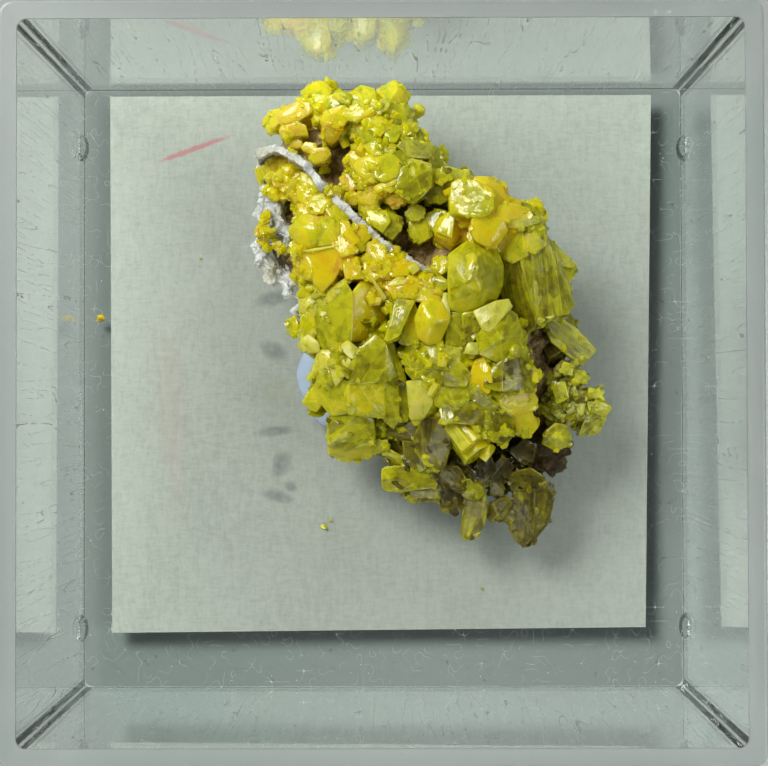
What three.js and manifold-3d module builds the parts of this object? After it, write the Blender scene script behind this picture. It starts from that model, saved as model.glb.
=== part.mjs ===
// Pyromorphite specimen in a small open clear box. Millimetres, +Z up.
// Origin: middle of the box's underside. The specimen sits on putty over a loose label card.

import * as THREE from 'three';
import { mergeVertices } from 'three/addons/utils/BufferGeometryUtils.js';
import Module from 'manifold-3d';

const wasm = await Module();
wasm.setup();

// ---- Driving dimensions ----

const RIM_SIDE = 40; // outside of the box at its rim
const FOOT_SIDE = 39.4; // outside of the box at its underside: the mould's draft
const BOX_HEIGHT = 20;
const WALL = 1; // wall thickness
const FLOOR = 1.2; // floor thickness
const OUTER_CORNER = 0.8;
const INNER_CORNER = 0.5;
const GAP = 0.3; // clearance between pieces that meet
const CARD_THICKNESS = 0.25;
const CARD_LIFT = 0.05; // air under the loose card
const PUTTY_TOP = 3.6;
const ROCK_BASE = PUTTY_TOP + GAP;
const QUARTZ_WALL = 0.55; // thickness of the quartz wall
const ROOT_TAPER = 0.88; // a crystal's root radius over its radius
const BEVEL = 0.22; // a large crystal's end bevel over its radius
const SMALLEST_BEVELLED = 0.9; // crystals thinner than this end in a plain flat face

// ---- Solids ----

/** A closed geometry as a manifold-3d solid. */
function solid(geometry) {
  const bare = geometry.clone();
  bare.deleteAttribute('normal');
  bare.deleteAttribute('uv');
  const merged = mergeVertices(bare, 1e-4);
  const corners = merged.index.array;
  const triangles = [];
  for (let i = 0; i < corners.length; i += 3) {
    const [a, b, c] = [corners[i], corners[i + 1], corners[i + 2]];
    if (a !== b && b !== c && c !== a) triangles.push(a, b, c);
  }
  return new wasm.Manifold(new wasm.Mesh({
    numProp: 3,
    vertProperties: new Float32Array(merged.attributes.position.array),
    triVerts: new Uint32Array(triangles),
  }));
}

/** A manifold-3d solid back as a three.js geometry. */
function geometryOf(shape) {
  const mesh = shape.getMesh();
  const geometry = new THREE.BufferGeometry();
  geometry.setAttribute('position', new THREE.BufferAttribute(mesh.vertProperties, 3));
  geometry.setIndex(new THREE.BufferAttribute(mesh.triVerts, 1));
  geometry.computeVertexNormals();
  return geometry;
}

const unite = (solids) => solids.reduce((whole, next) => whole.add(next));

/** The largest body of a solid that a cut may have left in pieces. */
function largestBody(shape) {
  const bodies = shape.decompose();
  return bodies.reduce((best, body) => (body.volume() > best.volume() ? body : best));
}

function addMesh(group, name, shape, look) {
  const material = new THREE.MeshStandardMaterial({ metalness: 0, ...look });
  const mesh = new THREE.Mesh(geometryOf(shape), material);
  mesh.name = name;
  group.add(mesh);
}

// ---- Box: an open tray with drafted walls and four small moulded nubs ----

function roundedSquare(side, corner) {
  const h = side / 2;
  const s = new THREE.Shape();
  s.moveTo(-h + corner, -h);
  s.lineTo(h - corner, -h);
  s.absarc(h - corner, -h + corner, corner, -Math.PI / 2, 0);
  s.lineTo(h, h - corner);
  s.absarc(h - corner, h - corner, corner, 0, Math.PI / 2);
  s.lineTo(-h + corner, h);
  s.absarc(-h + corner, h - corner, corner, Math.PI / 2, Math.PI);
  s.lineTo(-h, -h + corner);
  s.absarc(-h + corner, -h + corner, corner, Math.PI, Math.PI * 1.5);
  return s;
}

/** A rounded square block from z = low to the rim, widening with the mould's draft. */
function draftedBlock(rimSide, corner, low, high) {
  const block = new THREE.ExtrudeGeometry(roundedSquare(rimSide, corner), {
    depth: high - low, bevelEnabled: false, curveSegments: 4,
  }).translate(0, 0, low);
  const at = block.attributes.position;
  const draft = (RIM_SIDE - FOOT_SIDE) / BOX_HEIGHT;
  for (let i = 0; i < at.count; i += 1) {
    const narrowing = 1 - (draft * (BOX_HEIGHT - at.getZ(i))) / rimSide;
    at.setXY(i, at.getX(i) * narrowing, at.getY(i) * narrowing);
  }
  return solid(block);
}

function buildBox() {
  const outside = draftedBlock(RIM_SIDE, OUTER_CORNER, 0, BOX_HEIGHT);
  const inside = draftedBlock(RIM_SIDE - 2 * WALL, INNER_CORNER, FLOOR, BOX_HEIGHT + 1);
  let box = outside.subtract(inside);
  for (const side of [-1, 1]) {
    for (const y of [-14.9, 14.8]) {
      const nub = new THREE.SphereGeometry(1, 7, 5).scale(0.55, 0.85, 1.1);
      box = box.add(solid(nub.translate(side * 18.75, y, 2.6)));
    }
  }
  return box;
}

// ---- Label card: a hand-cut slip, not quite square ----

function buildCard() {
  const outline = [[-16.95, -15.3], [16.35, -15.0], [16.85, 18.3], [-17.1, 18.3]];
  const card = new THREE.ExtrudeGeometry(new THREE.Shape(outline.map(([x, y]) => new THREE.Vector2(x, y))), {
    depth: CARD_THICKNESS, bevelEnabled: false,
  });
  return solid(card.translate(0, 0, FLOOR + CARD_LIFT));
}

// ---- Putty: a pressed pad, flat below and above ----

function buildPutty() {
  const low = FLOOR + CARD_LIFT + CARD_THICKNESS + CARD_LIFT;
  const tall = PUTTY_TOP - low;
  const profile = [[0, 0], [0.96, 0], [1, tall * 0.3], [0.97, tall * 0.7], [0.84, tall], [0, tall]];
  const pad = new THREE.LatheGeometry(profile.map(([r, h]) => new THREE.Vector2(r, h)), 20);
  return solid(pad.rotateX(Math.PI / 2).scale(5.1, 6.2, 1).translate(-0.6, 1.2, low));
}

// ---- Crystals: six-sided prisms with a bevelled end ----

/**
 * A crystal is written [x, y, z, radius, length, heading, rise, twist]: the middle of its free end,
 * its corner radius, its length, the way the end points in plan from +X, its angle above the
 * horizontal, and its turn about its own axis. Angles are in degrees.
 */
function crystal([x, y, z, radius, length, heading, rise, twist = 0], grow = 0) {
  const r = radius + grow;
  const end = length + grow;
  const profile = [[0, 0], [r * ROOT_TAPER, 0], [r, end], [0, end]];
  if (radius > SMALLEST_BEVELLED) profile.splice(2, 1, [r, end - BEVEL * r], [r * (1 - BEVEL), end]);
  const shape = new THREE.LatheGeometry(profile.map(([a, b]) => new THREE.Vector2(a, b)), 6);
  const [turn, tilt, spin] = [heading, rise, twist].map(THREE.MathUtils.degToRad);
  shape.rotateY(spin).rotateZ(tilt - Math.PI / 2).rotateX(Math.PI / 2).rotateZ(turn);
  const back = new THREE.Vector3(Math.cos(tilt) * Math.cos(turn), Math.cos(tilt) * Math.sin(turn),
    Math.sin(tilt)).multiplyScalar(-length);
  return solid(shape.translate(x + back.x, y + back.y, z + back.z));
}

/** A lump of rock or massive crust: [x, y, z, radius along x, y and z]. */
function lump([x, y, z, rx, ry, rz], grow = 0, detail = 0) {
  const ball = new THREE.IcosahedronGeometry(1, detail);
  const at = ball.attributes.position;
  for (let i = 0; i < at.count; i += 1) {
    const [px, py, pz] = [at.getX(i), at.getY(i), at.getZ(i)];
    const rough = 1 + 0.1 * Math.sin(4.1 * px + x) * Math.cos(3.7 * py + y) + 0.06 * Math.sin(5.3 * pz + z);
    at.setXYZ(i, px * rough, py * rough, pz * rough);
  }
  return solid(ball.scale(rx + grow, ry + grow, rz + grow).translate(x, y, z));
}

const crust = ({ lumps, crystals }, grow = 0) => unite(
  lumps.map((l) => lump(l, grow)).concat(crystals.map((c) => crystal(c, grow))),
);

const olive = { color: 0x8a8412, roughness: 0.3 };
const yellow = { color: 0xb8ac14, roughness: 0.3 };
const lime = { color: 0xa2aa1c, roughness: 0.28 };
const dark = { color: 0x4a4410, roughness: 0.25 };

// Every group of crystals that has grown together. The ones that stand free come first,
// and each later group is cut back from the groups above it.
const groups = [
  { name: 'waxy_crystal', look: lime, lumps: [], crystals: [
    [5.4, 6.3, 12.4, 1.95, 5.2, 60, 80, 10],
  ] },
  { name: 'green_crystal', look: lime, lumps: [], crystals: [
    [-0.9, -0.9, 9.9, 1.95, 5.2, 264, 42, 0],
    [0.9, -0.9, 9.4, 0.8, 3.6, 275, 40, 10],
  ] },
  { name: 'hexagon_crystal', look: olive, lumps: [], crystals: [
    [1.8, 11.9, 10.9, 1.2, 4.2, 120, 80, 12],
  ] },
  { name: 'striated_bundle', look: olive, lumps: [], crystals: [
    [7.7, 9.6, 11.7, 1.5, 7.0, 104, 38, 0],
    [8.8, 9.3, 10.8, 1.35, 6.6, 104, 36, 20],
    [9.4, 8.6, 9.6, 1.1, 6.0, 104, 34, 8],
    [7.4, 8.2, 10.6, 1.0, 5.2, 104, 38, 30],
  ] },
  { name: 'blade_crystal', look: olive, lumps: [], crystals: [
    [11.8, 1.6, 6.9, 0.75, 3.6, -42, 4, 30],
  ] },
  { name: 'cap_crystals', look: yellow, lumps: [[5.6, 10.4, 8.6, 1.8, 1.5, 2.0]], crystals: [
    [5.1, 10.9, 12.1, 1.25, 4.4, 100, 78, 10],
    [6.5, 11.1, 11.4, 1.15, 4.2, 60, 62, 0],
    [6.2, 9.2, 12.3, 0.95, 4.0, 270, 80, 20],
    [3.8, 9.3, 10.7, 0.8, 3.4, 200, 72, 15],
  ] },
  { name: 'quartz_rind', look: { color: 0xb9b9a6, roughness: 0.6 },
    lumps: [[-6.2, 10.0, 6.0, 1.4, 2.2, 0.9], [-7.3, 8.2, 5.6, 1.2, 1.7, 0.8],
      [-6.2, 6.4, 5.6, 1.2, 1.6, 0.8], [-6.9, 12.3, 5.8, 1.2, 2.0, 0.9]],
    crystals: [[-6.2, 5.5, 5.6, 0.3, 1.6, -52, 0]] },
  { name: 'lower_left_crystals', look: lime, lumps: [[-2.4, 1.0, 6.2, 1.6, 3.2, 1.6]], crystals: [
    [-1.9, 6.1, 9.8, 2.1, 5.0, 92, 16, 0],
    [-1.8, -3.9, 6.6, 1.35, 4.0, 262, 14, 30],
    [-3.2, 1.0, 9.8, 0.9, 3.0, 200, 40, 10],
    [-4.4, -0.9, 7.2, 0.55, 2.6, 205, 5, 0],
    [-3.2, 0.0, 8.6, 0.9, 2.8, 215, 30, 0],
    [-2.0, 2.0, 11.0, 0.55, 2.2, 230, 60, 0],
  ] },
  { name: 'edge_crystals', look: { color: 0xc0c070, roughness: 0.35 },
    lumps: [[-4.6, 3.8, 6.6, 1.0, 2.4, 1.5]], crystals: [
      [-4.4, 4.6, 9.0, 0.6, 2.4, 160, 60, 0],
      [-4.3, 2.7, 8.6, 0.55, 2.2, 190, 60, 20],
      [-4.1, 5.7, 9.2, 0.55, 2.4, 140, 65, 10],
      [-5.4, 3.4, 6.8, 0.5, 1.8, 180, 10, 0],
    ] },
  { name: 'heart_crystals', look: yellow,
    lumps: [[3.4, 2.2, 8.0, 3.0, 3.6, 2.2], [6.2, -0.6, 7.2, 2.8, 3.0, 2.0]], crystals: [
      [6.9, 3.0, 11.8, 1.4, 4.6, 40, 80, 10],
      [2.9, 3.7, 11.7, 1.1, 3.8, 80, 75, 0],
      [1.1, 4.0, 11.9, 1.0, 4.2, 245, 35, 0],
      [2.5, 5.6, 11.2, 0.85, 3.4, 90, 70, 0],
      [5.0, 3.3, 11.5, 0.7, 3.2, 90, 80, 0],
      [2.4, 1.3, 10.8, 1.05, 4.0, 235, 62, 0],
      [4.0, 0.7, 11.1, 1.1, 3.8, 250, 70, 10],
      [7.6, 0.5, 10.7, 1.5, 4.4, -20, 60, 0],
      [5.8, 0.3, 11.2, 1.0, 3.6, 270, 75, 0],
      [6.2, -1.1, 10.2, 1.0, 3.6, 280, 55, 15],
      [8.1, -1.0, 9.4, 0.9, 3.6, -40, 45, 0],
      [8.5, -2.2, 8.8, 0.65, 3.2, -60, 35, 0],
      [7.0, -2.4, 9.2, 0.9, 3.4, -65, 40, 0],
      [6.0, -3.7, 8.8, 0.8, 4.0, -40, 12, 0],
      [5.0, -4.4, 7.8, 0.75, 3.4, -60, 15, 0],
      [4.6, -0.9, 10.6, 0.85, 3.2, 265, 65, 20],
      [3.4, -3.2, 8.6, 1.2, 3.6, 255, 40, 0],
    ] },
  { name: 'bowl_crystal', look: olive, lumps: [], crystals: [
    [2.1, -1.0, 9.8, 1.05, 3.6, 285, 55, 0],
  ] },
  { name: 'shoulder_crystals', look: yellow, lumps: [[0.2, 12.2, 7.8, 2.4, 1.9, 1.7]], crystals: [
    [-0.2, 13.0, 10.7, 1.35, 4.0, 90, 78, 0],
    [0.9, 11.9, 10.5, 0.5, 2.4, 20, 8, 0],
    [-0.9, 11.1, 9.9, 0.75, 3.0, 220, 65, 0],
  ] },
  { name: 'flank_crystals', look: olive, lumps: [[3.6, 12.1, 7.6, 1.2, 1.0, 1.0]], crystals: [
    [3.0, 13.2, 9.4, 0.8, 3.4, 50, 45, 0],
    [3.6, 12.9, 8.6, 0.65, 3.0, 35, 30, 0],
    [5.0, 12.2, 8.4, 0.35, 2.6, -12, 4, 0],
    [3.5, 11.5, 9.7, 0.95, 3.6, 0, 70, 20],
  ] },
  { name: 'crown_crystals', look: yellow,
    lumps: [[-3.0, 16.0, 6.6, 2.8, 1.5, 1.3], [0.6, 15.4, 7.4, 2.0, 1.7, 1.6]], crystals: [
      [-4.5, 17.2, 8.0, 0.75, 2.6, 110, 40, 0],
      [-3.6, 17.1, 8.4, 0.65, 2.4, 80, 55, 20],
      [-6.0, 15.8, 7.9, 0.68, 2.8, 194, 12, 0],
      [-5.8, 14.8, 7.6, 0.55, 2.4, 178, 4, 30],
      [-3.6, 13.6, 7.7, 0.6, 2.6, 250, 60, 0],
      [-3.0, 14.7, 9.0, 0.75, 2.8, 235, 45, 0],
      [-2.6, 15.7, 9.7, 0.95, 3.2, 200, 72, 0],
      [-2.6, 16.7, 9.4, 0.8, 3.0, 100, 70, 0],
      [-1.2, 16.9, 9.4, 0.8, 3.0, 100, 65, 0],
      [0.7, 17.0, 9.2, 0.85, 3.4, 82, 50, 0],
      [1.2, 16.5, 8.8, 0.6, 2.8, 45, 40, 0],
      [0.8, 15.6, 9.7, 0.85, 3.0, 60, 75, 0],
      [1.7, 15.0, 9.0, 0.6, 2.8, 30, 50, 0],
      [-0.2, 15.0, 10.0, 0.75, 3.0, 100, 78, 0],
      [0.5, 14.3, 10.2, 0.9, 3.2, 90, 80, 0],
      [2.3, 14.3, 9.0, 0.7, 3.0, 35, 45, 0],
      [-1.5, 14.4, 8.8, 0.5, 2.6, 265, 25, 0],
    ] },
  { name: 'left_bank_crystals', look: yellow,
    lumps: [[-5.0, 12.0, 7.2, 2.0, 1.7, 1.4], [-3.2, 8.8, 7.6, 2.0, 2.4, 1.6]], crystals: [
      [-6.9, 13.2, 8.2, 0.6, 2.6, 130, 50, 0],
      [-5.9, 13.0, 8.8, 0.8, 3.0, 120, 60, 0],
      [-6.6, 12.1, 8.6, 0.75, 2.8, 160, 60, 0],
      [-5.2, 12.3, 9.4, 0.9, 3.0, 110, 70, 0],
      [-4.6, 11.3, 9.6, 0.85, 3.0, 120, 75, 0],
      [-3.8, 10.6, 9.8, 0.65, 2.8, 100, 78, 0],
      [-4.4, 9.0, 10.2, 0.95, 3.2, 120, 70, 0],
      [-3.2, 9.2, 10.4, 0.95, 3.2, 100, 72, 20],
      [-2.1, 8.6, 10.4, 0.8, 3.2, 290, 50, 0],
      [-1.5, 7.0, 10.4, 0.75, 3.2, 295, 45, 0],
      [-3.5, 7.3, 10.2, 1.35, 4.0, 95, 35, 0],
    ] },
  { name: 'rind_crystals', look: yellow, lumps: [[-6.8, 9.0, 7.4, 0.9, 1.5, 0.6]], crystals: [
    [-7.0, 9.9, 8.4, 0.55, 1.8, 140, 60, 0],
    [-6.6, 9.4, 8.4, 0.55, 1.8, 20, 60, 0],
    [-6.0, 8.3, 7.9, 0.5, 1.6, 330, 55, 0],
    [-6.9, 8.0, 7.8, 0.45, 1.6, 230, 50, 0],
  ] },
  { name: 'middle_band_crystals', look: yellow, lumps: [[0.6, 6.6, 8.0, 2.3, 1.5, 1.7]], crystals: [
    [0.3, 7.2, 10.6, 0.7, 3.0, 100, 75, 0],
    [1.2, 6.9, 10.6, 0.65, 3.0, 90, 75, 0],
    [-0.5, 6.6, 10.8, 0.65, 3.0, 100, 75, 0],
    [0.8, 6.0, 11.0, 0.7, 3.0, 90, 75, 0],
    [3.5, 6.8, 10.0, 0.45, 3.4, 70, 60, 0],
  ] },
  { name: 'hollow_crystals', look: olive, lumps: [[1.4, 9.3, 7.2, 1.8, 1.1, 1.2]], crystals: [
    [0.2, 9.8, 9.7, 0.7, 2.8, 100, 70, 0],
    [0.8, 9.1, 9.2, 0.6, 2.8, 60, 65, 0],
    [1.9, 10.1, 9.4, 0.45, 2.8, 80, 75, 0],
    [2.3, 9.1, 9.1, 0.75, 2.8, 290, 70, 0],
  ] },
  { name: 'side_crystals', look: olive, lumps: [], crystals: [
    [11.2, 7.0, 8.2, 0.6, 2.8, -15, 8, 0],
    [11.1, 6.3, 7.6, 0.5, 2.8, -30, 5, 0],
    [10.6, 6.8, 7.4, 0.6, 2.4, -20, 30, 0],
  ] },
  { name: 'bottom_prisms', look: olive, lumps: [[2.2, -4.2, 6.2, 1.9, 1.4, 1.2]], crystals: [
    [0.15, -5.5, 5.6, 0.62, 3.6, 184, 6, 30],
    [4.1, -7.2, 5.2, 0.72, 3.4, 280, 8, 0],
    [1.2, -3.6, 7.2, 0.8, 2.6, 220, 30, 0],
    [2.4, -4.3, 7.4, 0.85, 2.8, 240, 40, 0],
  ] },
  { name: 'foot_prism_left', look: olive, lumps: [], crystals: [[5.05, -8.9, 4.9, 0.72, 3.6, 257, -3, 0]] },
  { name: 'foot_prism_middle', look: olive, lumps: [], crystals: [[6.45, -7.6, 5.2, 0.5, 2.0, 228, 12, 0]] },
  { name: 'foot_prism_right', look: olive, lumps: [], crystals: [
    [8.2, -9.2, 4.9, 0.72, 4.4, 262, -2, 0],
    [9.1, -8.4, 4.8, 0.72, 4.0, 262, -2, 0],
  ] },
  { name: 'dark_crystals', look: dark, lumps: [[7.2, -4.4, 6.0, 2.0, 1.1, 1.1]], crystals: [
    [6.2, -5.0, 7.3, 0.5, 2.2, 240, 60, 0],
    [6.6, -6.0, 6.3, 0.65, 2.4, 265, 40, 0],
    [7.9, -4.2, 7.5, 0.6, 2.2, 290, 60, 0],
    [8.3, -3.4, 7.9, 0.5, 2.2, 300, 70, 0],
  ] },
  { name: 'leaf_crystal', look: lime, lumps: [], crystals: [[10.2, -3.1, 7.9, 0.8, 1.8, 270, 62, 0]] },
  { name: 'druse', look: { color: 0x9a9560, roughness: 0.5 },
    lumps: [[10.8, -1.0, 5.8, 2.1, 1.8, 1.4]], crystals: [
      [11.4, 0.4, 7.6, 0.5, 2.2, 60, 60, 0],
      [12.4, -0.5, 6.8, 0.35, 2.2, 15, 20, 0],
      [12.9, -1.4, 6.2, 0.45, 2.4, -10, 10, 0],
      [11.4, -1.0, 8.0, 0.5, 2.2, 40, 70, 0],
      [10.1, 0.5, 7.8, 0.5, 2.2, 100, 60, 0],
      [12.2, -2.3, 6.2, 0.6, 2.4, -30, 20, 0],
      [11.1, -2.0, 7.8, 0.45, 2.0, -60, 70, 0],
    ] },
];

// ---- Quartz wall: a thin curved vein that stands between the crown and the left bank ----

const wallRoute = [[-7.4, 13.7], [-6.3, 14.0], [-5.2, 13.5], [-4.1, 12.7], [-3.1, 11.4], [-2.0, 10.4],
  [-0.8, 9.3], [0.4, 8.2], [1.7, 7.4], [2.9, 6.6]];

function quartzWall(grow = 0) {
  const route = new THREE.CatmullRomCurve3(wallRoute.map(([x, y]) => new THREE.Vector3(x, y, 0)));
  const half = QUARTZ_WALL / 2 + grow;
  const steps = 18;
  const near = [];
  const far = [];
  for (let i = 0; i <= steps; i += 1) {
    const at = route.getPointAt(i / steps);
    const along = route.getTangentAt(i / steps);
    near.push(new THREE.Vector2(at.x - along.y * half, at.y + along.x * half));
    far.unshift(new THREE.Vector2(at.x + along.y * half, at.y - along.x * half));
  }
  const ribbon = new THREE.ExtrudeGeometry(new THREE.Shape(near.concat(far)), {
    depth: 4.2 + grow, bevelEnabled: false,
  }).translate(0, 0, 5.6);
  const at = ribbon.attributes.position;
  for (let i = 0; i < at.count; i += 1) {
    at.setZ(i, at.getZ(i) + 0.09 * (at.getX(i) + 4)); // the vein climbs towards the middle
  }
  return solid(ribbon);
}

// ---- Rock: the matrix that everything has grown on, flat where the putty holds it ----

const rockLumps = [
  [-4.0, 14.4, 5.9, 2.6, 2.2, 1.7], [1.0, 12.4, 6.4, 3.6, 4.0, 2.0], [-4.2, 8.6, 6.0, 2.6, 4.4, 1.9],
  [5.0, 7.4, 6.5, 4.6, 4.2, 2.2], [-0.6, 3.0, 6.0, 3.8, 4.8, 2.1], [4.6, 0.0, 5.8, 4.6, 4.8, 2.1],
  [8.8, -0.2, 5.6, 2.6, 3.2, 1.8], [9.0, -4.0, 5.4, 2.6, 2.1, 1.6],
];

const ground = (top) => solid(new THREE.BoxGeometry(60, 60, 10).translate(0, 0, top - 5));

const rock = (grow = 0) => unite(rockLumps.map((l) => lump(l, grow, 1))).subtract(ground(ROCK_BASE - grow));

// ---- Assembly ----

const specimen = new THREE.Group();
addMesh(specimen, 'box', buildBox(), {
  color: 0xdde4e2, roughness: 0.08, transparent: true, opacity: 0.35,
});
addMesh(specimen, 'label_card', buildCard(), { color: 0xb9c3b7, roughness: 0.9 });
addMesh(specimen, 'putty', buildPutty(), { color: 0x96aabe, roughness: 0.75 });

addMesh(specimen, 'matrix', rock(), { color: 0x4b3f26, roughness: 0.8 });

// Everything else has grown on the rock and around what was there before it.
let taken = rock(GAP).add(ground(ROCK_BASE));
const wall = quartzWall().subtract(taken);
addMesh(specimen, 'quartz_wall', largestBody(wall), { color: 0xb4bcc0, roughness: 0.55 });
taken = taken.add(quartzWall(GAP));
for (const group of groups) {
  addMesh(specimen, group.name, largestBody(crust(group).subtract(taken)), group.look);
  taken = taken.add(crust(group, GAP));
}

export default specimen;
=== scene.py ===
import math
import random

import bmesh
import bpy
import numpy as np
from mathutils import Euler, Matrix, Vector, noise


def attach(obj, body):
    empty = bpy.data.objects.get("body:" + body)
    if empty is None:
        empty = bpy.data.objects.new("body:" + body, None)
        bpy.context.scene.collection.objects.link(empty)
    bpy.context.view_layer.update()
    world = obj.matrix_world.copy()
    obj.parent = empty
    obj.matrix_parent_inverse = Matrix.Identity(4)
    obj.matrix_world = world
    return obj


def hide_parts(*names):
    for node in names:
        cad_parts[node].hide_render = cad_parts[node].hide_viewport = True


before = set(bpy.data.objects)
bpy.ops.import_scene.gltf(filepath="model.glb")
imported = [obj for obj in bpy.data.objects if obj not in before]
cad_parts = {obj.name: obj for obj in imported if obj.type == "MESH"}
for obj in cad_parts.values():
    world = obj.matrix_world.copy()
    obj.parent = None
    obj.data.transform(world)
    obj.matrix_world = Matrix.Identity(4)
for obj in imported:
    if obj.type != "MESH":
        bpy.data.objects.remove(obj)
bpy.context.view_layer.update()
MM = 0.001
scene = bpy.context.scene


# ---- Camera, table and lamps ----
# The camera looks straight down into the open box from 11 cm above the table. A large soft lamp
# stands behind the box to the left, a smaller one fills in from the right.
CAMERA_PLACE = Vector((0.53, -1.70, 109.92)) * MM
CAMERA_TURN = (math.radians(1.04), math.radians(0.25), math.radians(-0.13))
CAMERA_LENS = 81.2
SENSOR_WIDTH = 36
NEAREST_SEEN = 5 * MM
camera = bpy.data.objects.new("camera", bpy.data.cameras.new("camera"))
camera.location = CAMERA_PLACE
camera.rotation_euler = CAMERA_TURN
camera.data.lens = CAMERA_LENS
camera.data.sensor_width = SENSOR_WIDTH
camera.data.clip_start = NEAREST_SEEN
scene.collection.objects.link(camera)
scene.camera = camera


SPECIMEN_PLACE = Vector((2, 3, 8)) * MM


def lamp(name, place, size, power, colour=(1, 1, 1)):
    """A soft square lamp that faces the specimen. Its place and size are in millimetres."""
    light = bpy.data.lights.new(name, "AREA")
    light.size = size * MM
    light.energy = power
    light.color = colour
    obj = bpy.data.objects.new(name, light)
    obj.location = Vector(place) * MM
    aim = SPECIMEN_PLACE - obj.location
    obj.rotation_euler = aim.to_track_quat("-Z", "Y").to_euler()
    scene.collection.objects.link(obj)


KEY_PLACE = Vector((-150, 150, 240)) * MM
lamp("key lamp", KEY_PLACE / MM, size=130, power=0.92, colour=(1.0, 0.99, 0.97))
lamp("fill lamp", (190, -60, 200), size=120, power=0.16, colour=(0.95, 0.98, 1.0))
lamp("rim lamp", (-60, -210, 130), size=90, power=0.06)
ROOM_COLOUR = (0.9, 0.95, 1.0, 1)
ROOM_LIGHT = 0.10
scene.world = bpy.data.worlds.new("studio")
scene.world.use_nodes = True
room = scene.world.node_tree.nodes["Background"].inputs
room["Color"].default_value = ROOM_COLOUR
room["Strength"].default_value = ROOM_LIGHT
scene.view_settings.view_transform = "Standard"


class Tap:
    """A shader socket that can be used in sums: each operator adds its Math node."""

    def __init__(self, finish, socket):
        self.finish = finish
        self.socket = socket

    def _sum(self, operation, *terms):
        return self.finish.add("ShaderNodeMath", {"operation": operation}, dict(enumerate(terms)))

    def __add__(self, other):
        return self._sum("ADD", self, other)

    def __sub__(self, other):
        return self._sum("SUBTRACT", self, other)

    def __rsub__(self, other):
        return self._sum("SUBTRACT", other, self)

    def __mul__(self, other):
        return self._sum("MULTIPLY", self, other)

    __radd__ = __add__
    __rmul__ = __mul__

    def clamped(self):
        """The value held between 0 and 1."""
        result = self + 0
        result.socket.node.use_clamp = True
        return result


class Finish:
    """A material in the making, with its one Principled surface."""

    def __init__(self, name, **constants):
        self.material = bpy.data.materials.new(name)
        self.material.use_nodes = True
        self.tree = self.material.node_tree
        self.surface = self.tree.nodes["Principled BSDF"]
        self.output = self.tree.nodes["Material Output"]
        self.set(**constants)

    def put(self, socket, value):
        if isinstance(value, Tap):
            self.tree.links.new(value.socket, socket)
        else:
            socket.default_value = value

    def set(self, **values):
        """Sets surface sockets by name, with _ for a space: base_color, roughness, ior."""
        names = {s.name.lower().replace(" ", "_"): s for s in self.surface.inputs}
        for name, value in values.items():
            self.put(names[name], value)

    def add(self, kind, settings=None, inputs=None, output=0):
        """Adds a node: its settings first, with a ramp's stops, then the values of its sockets."""
        node = self.tree.nodes.new(kind)
        for key, value in (settings or {}).items():
            if key == "stops":
                ramp = node.color_ramp.elements
                while len(ramp) < len(value):
                    ramp.new(1)
                for element, (position, colour) in zip(ramp, value):
                    element.position = position
                    element.color = (*colour, 1)
            else:
                setattr(node, key, value)
        for key, value in (inputs or {}).items():
            self.put(node.inputs[key], value)
        return Tap(self, node.outputs[output])

    def place(self, scale=(1, 1, 1)):
        """Object coordinates in millimetres, times a scale for each axis."""
        here = self.add("ShaderNodeTexCoord", output="Object")
        return self.add("ShaderNodeMapping", {"vector_type": "POINT"},
                        {"Vector": here, "Scale": tuple(s / MM for s in scale)})

    def noise(self, vector, scale=1.0, detail=3.0, rough=0.5, warp=0.0):
        return self.add("ShaderNodeTexNoise", None, {
            "Vector": vector, "Scale": scale, "Detail": detail, "Roughness": rough, "Distortion": warp})

    def cells(self, vector, scale=1.0, output="Distance"):
        return self.add("ShaderNodeTexVoronoi", None, {"Vector": vector, "Scale": scale}, output)

    def ramp(self, value, stops):
        return self.add("ShaderNodeValToRGB", {"stops": stops}, {"Fac": value})

    def mask(self, value, low, high):
        """0 below low, 1 above high, smooth between."""
        return self.add("ShaderNodeMapRange", {"interpolation_type": "SMOOTHSTEP"},
                        {"Value": value, "From Min": low, "From Max": high})

    def mix(self, amount, first, second):
        return self.add("ShaderNodeMix", {"data_type": "RGBA"}, {0: amount, 6: first, 7: second}, 2)

    def bump(self, height, distance, strength=1.0, under=None):
        """A bump of so many millimetres at full height, over another one if given."""
        inputs = {"Height": height, "Distance": distance * MM, "Strength": strength}
        if under:
            inputs["Normal"] = under
        return self.add("ShaderNodeBump", None, inputs)


def piece(name, mesh, finish, slot=None, nodes=()):
    """Makes the object, gives it its finish, and lets it ride and stand for its CAD nodes."""
    obj = bpy.data.objects.new(name, mesh)
    mesh.materials.clear()
    mesh.materials.append(finish.material)
    scene.collection.objects.link(obj)
    if slot:
        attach(obj, "root")
    if nodes:
        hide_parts(*nodes)
    return obj


def mesh_of(bm):
    mesh = bpy.data.meshes.new("work")
    bm.to_mesh(mesh)
    bm.free()
    return mesh


TABLE_SIZE = 900 * MM
table = bmesh.new()
bmesh.ops.create_grid(table, x_segments=1, y_segments=1, size=TABLE_SIZE / 2)
table_finish = Finish("pale table", roughness=0.7, specular_ior_level=0.3)
mottle = table_finish.noise(table_finish.place((0.02, 0.02, 0.02)), detail=2)
table_finish.set(base_color=table_finish.ramp(mottle, [
    (0.3, (0.37, 0.40, 0.38)), (0.7, (0.42, 0.45, 0.43))]))
piece("table", mesh_of(table), table_finish)


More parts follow.
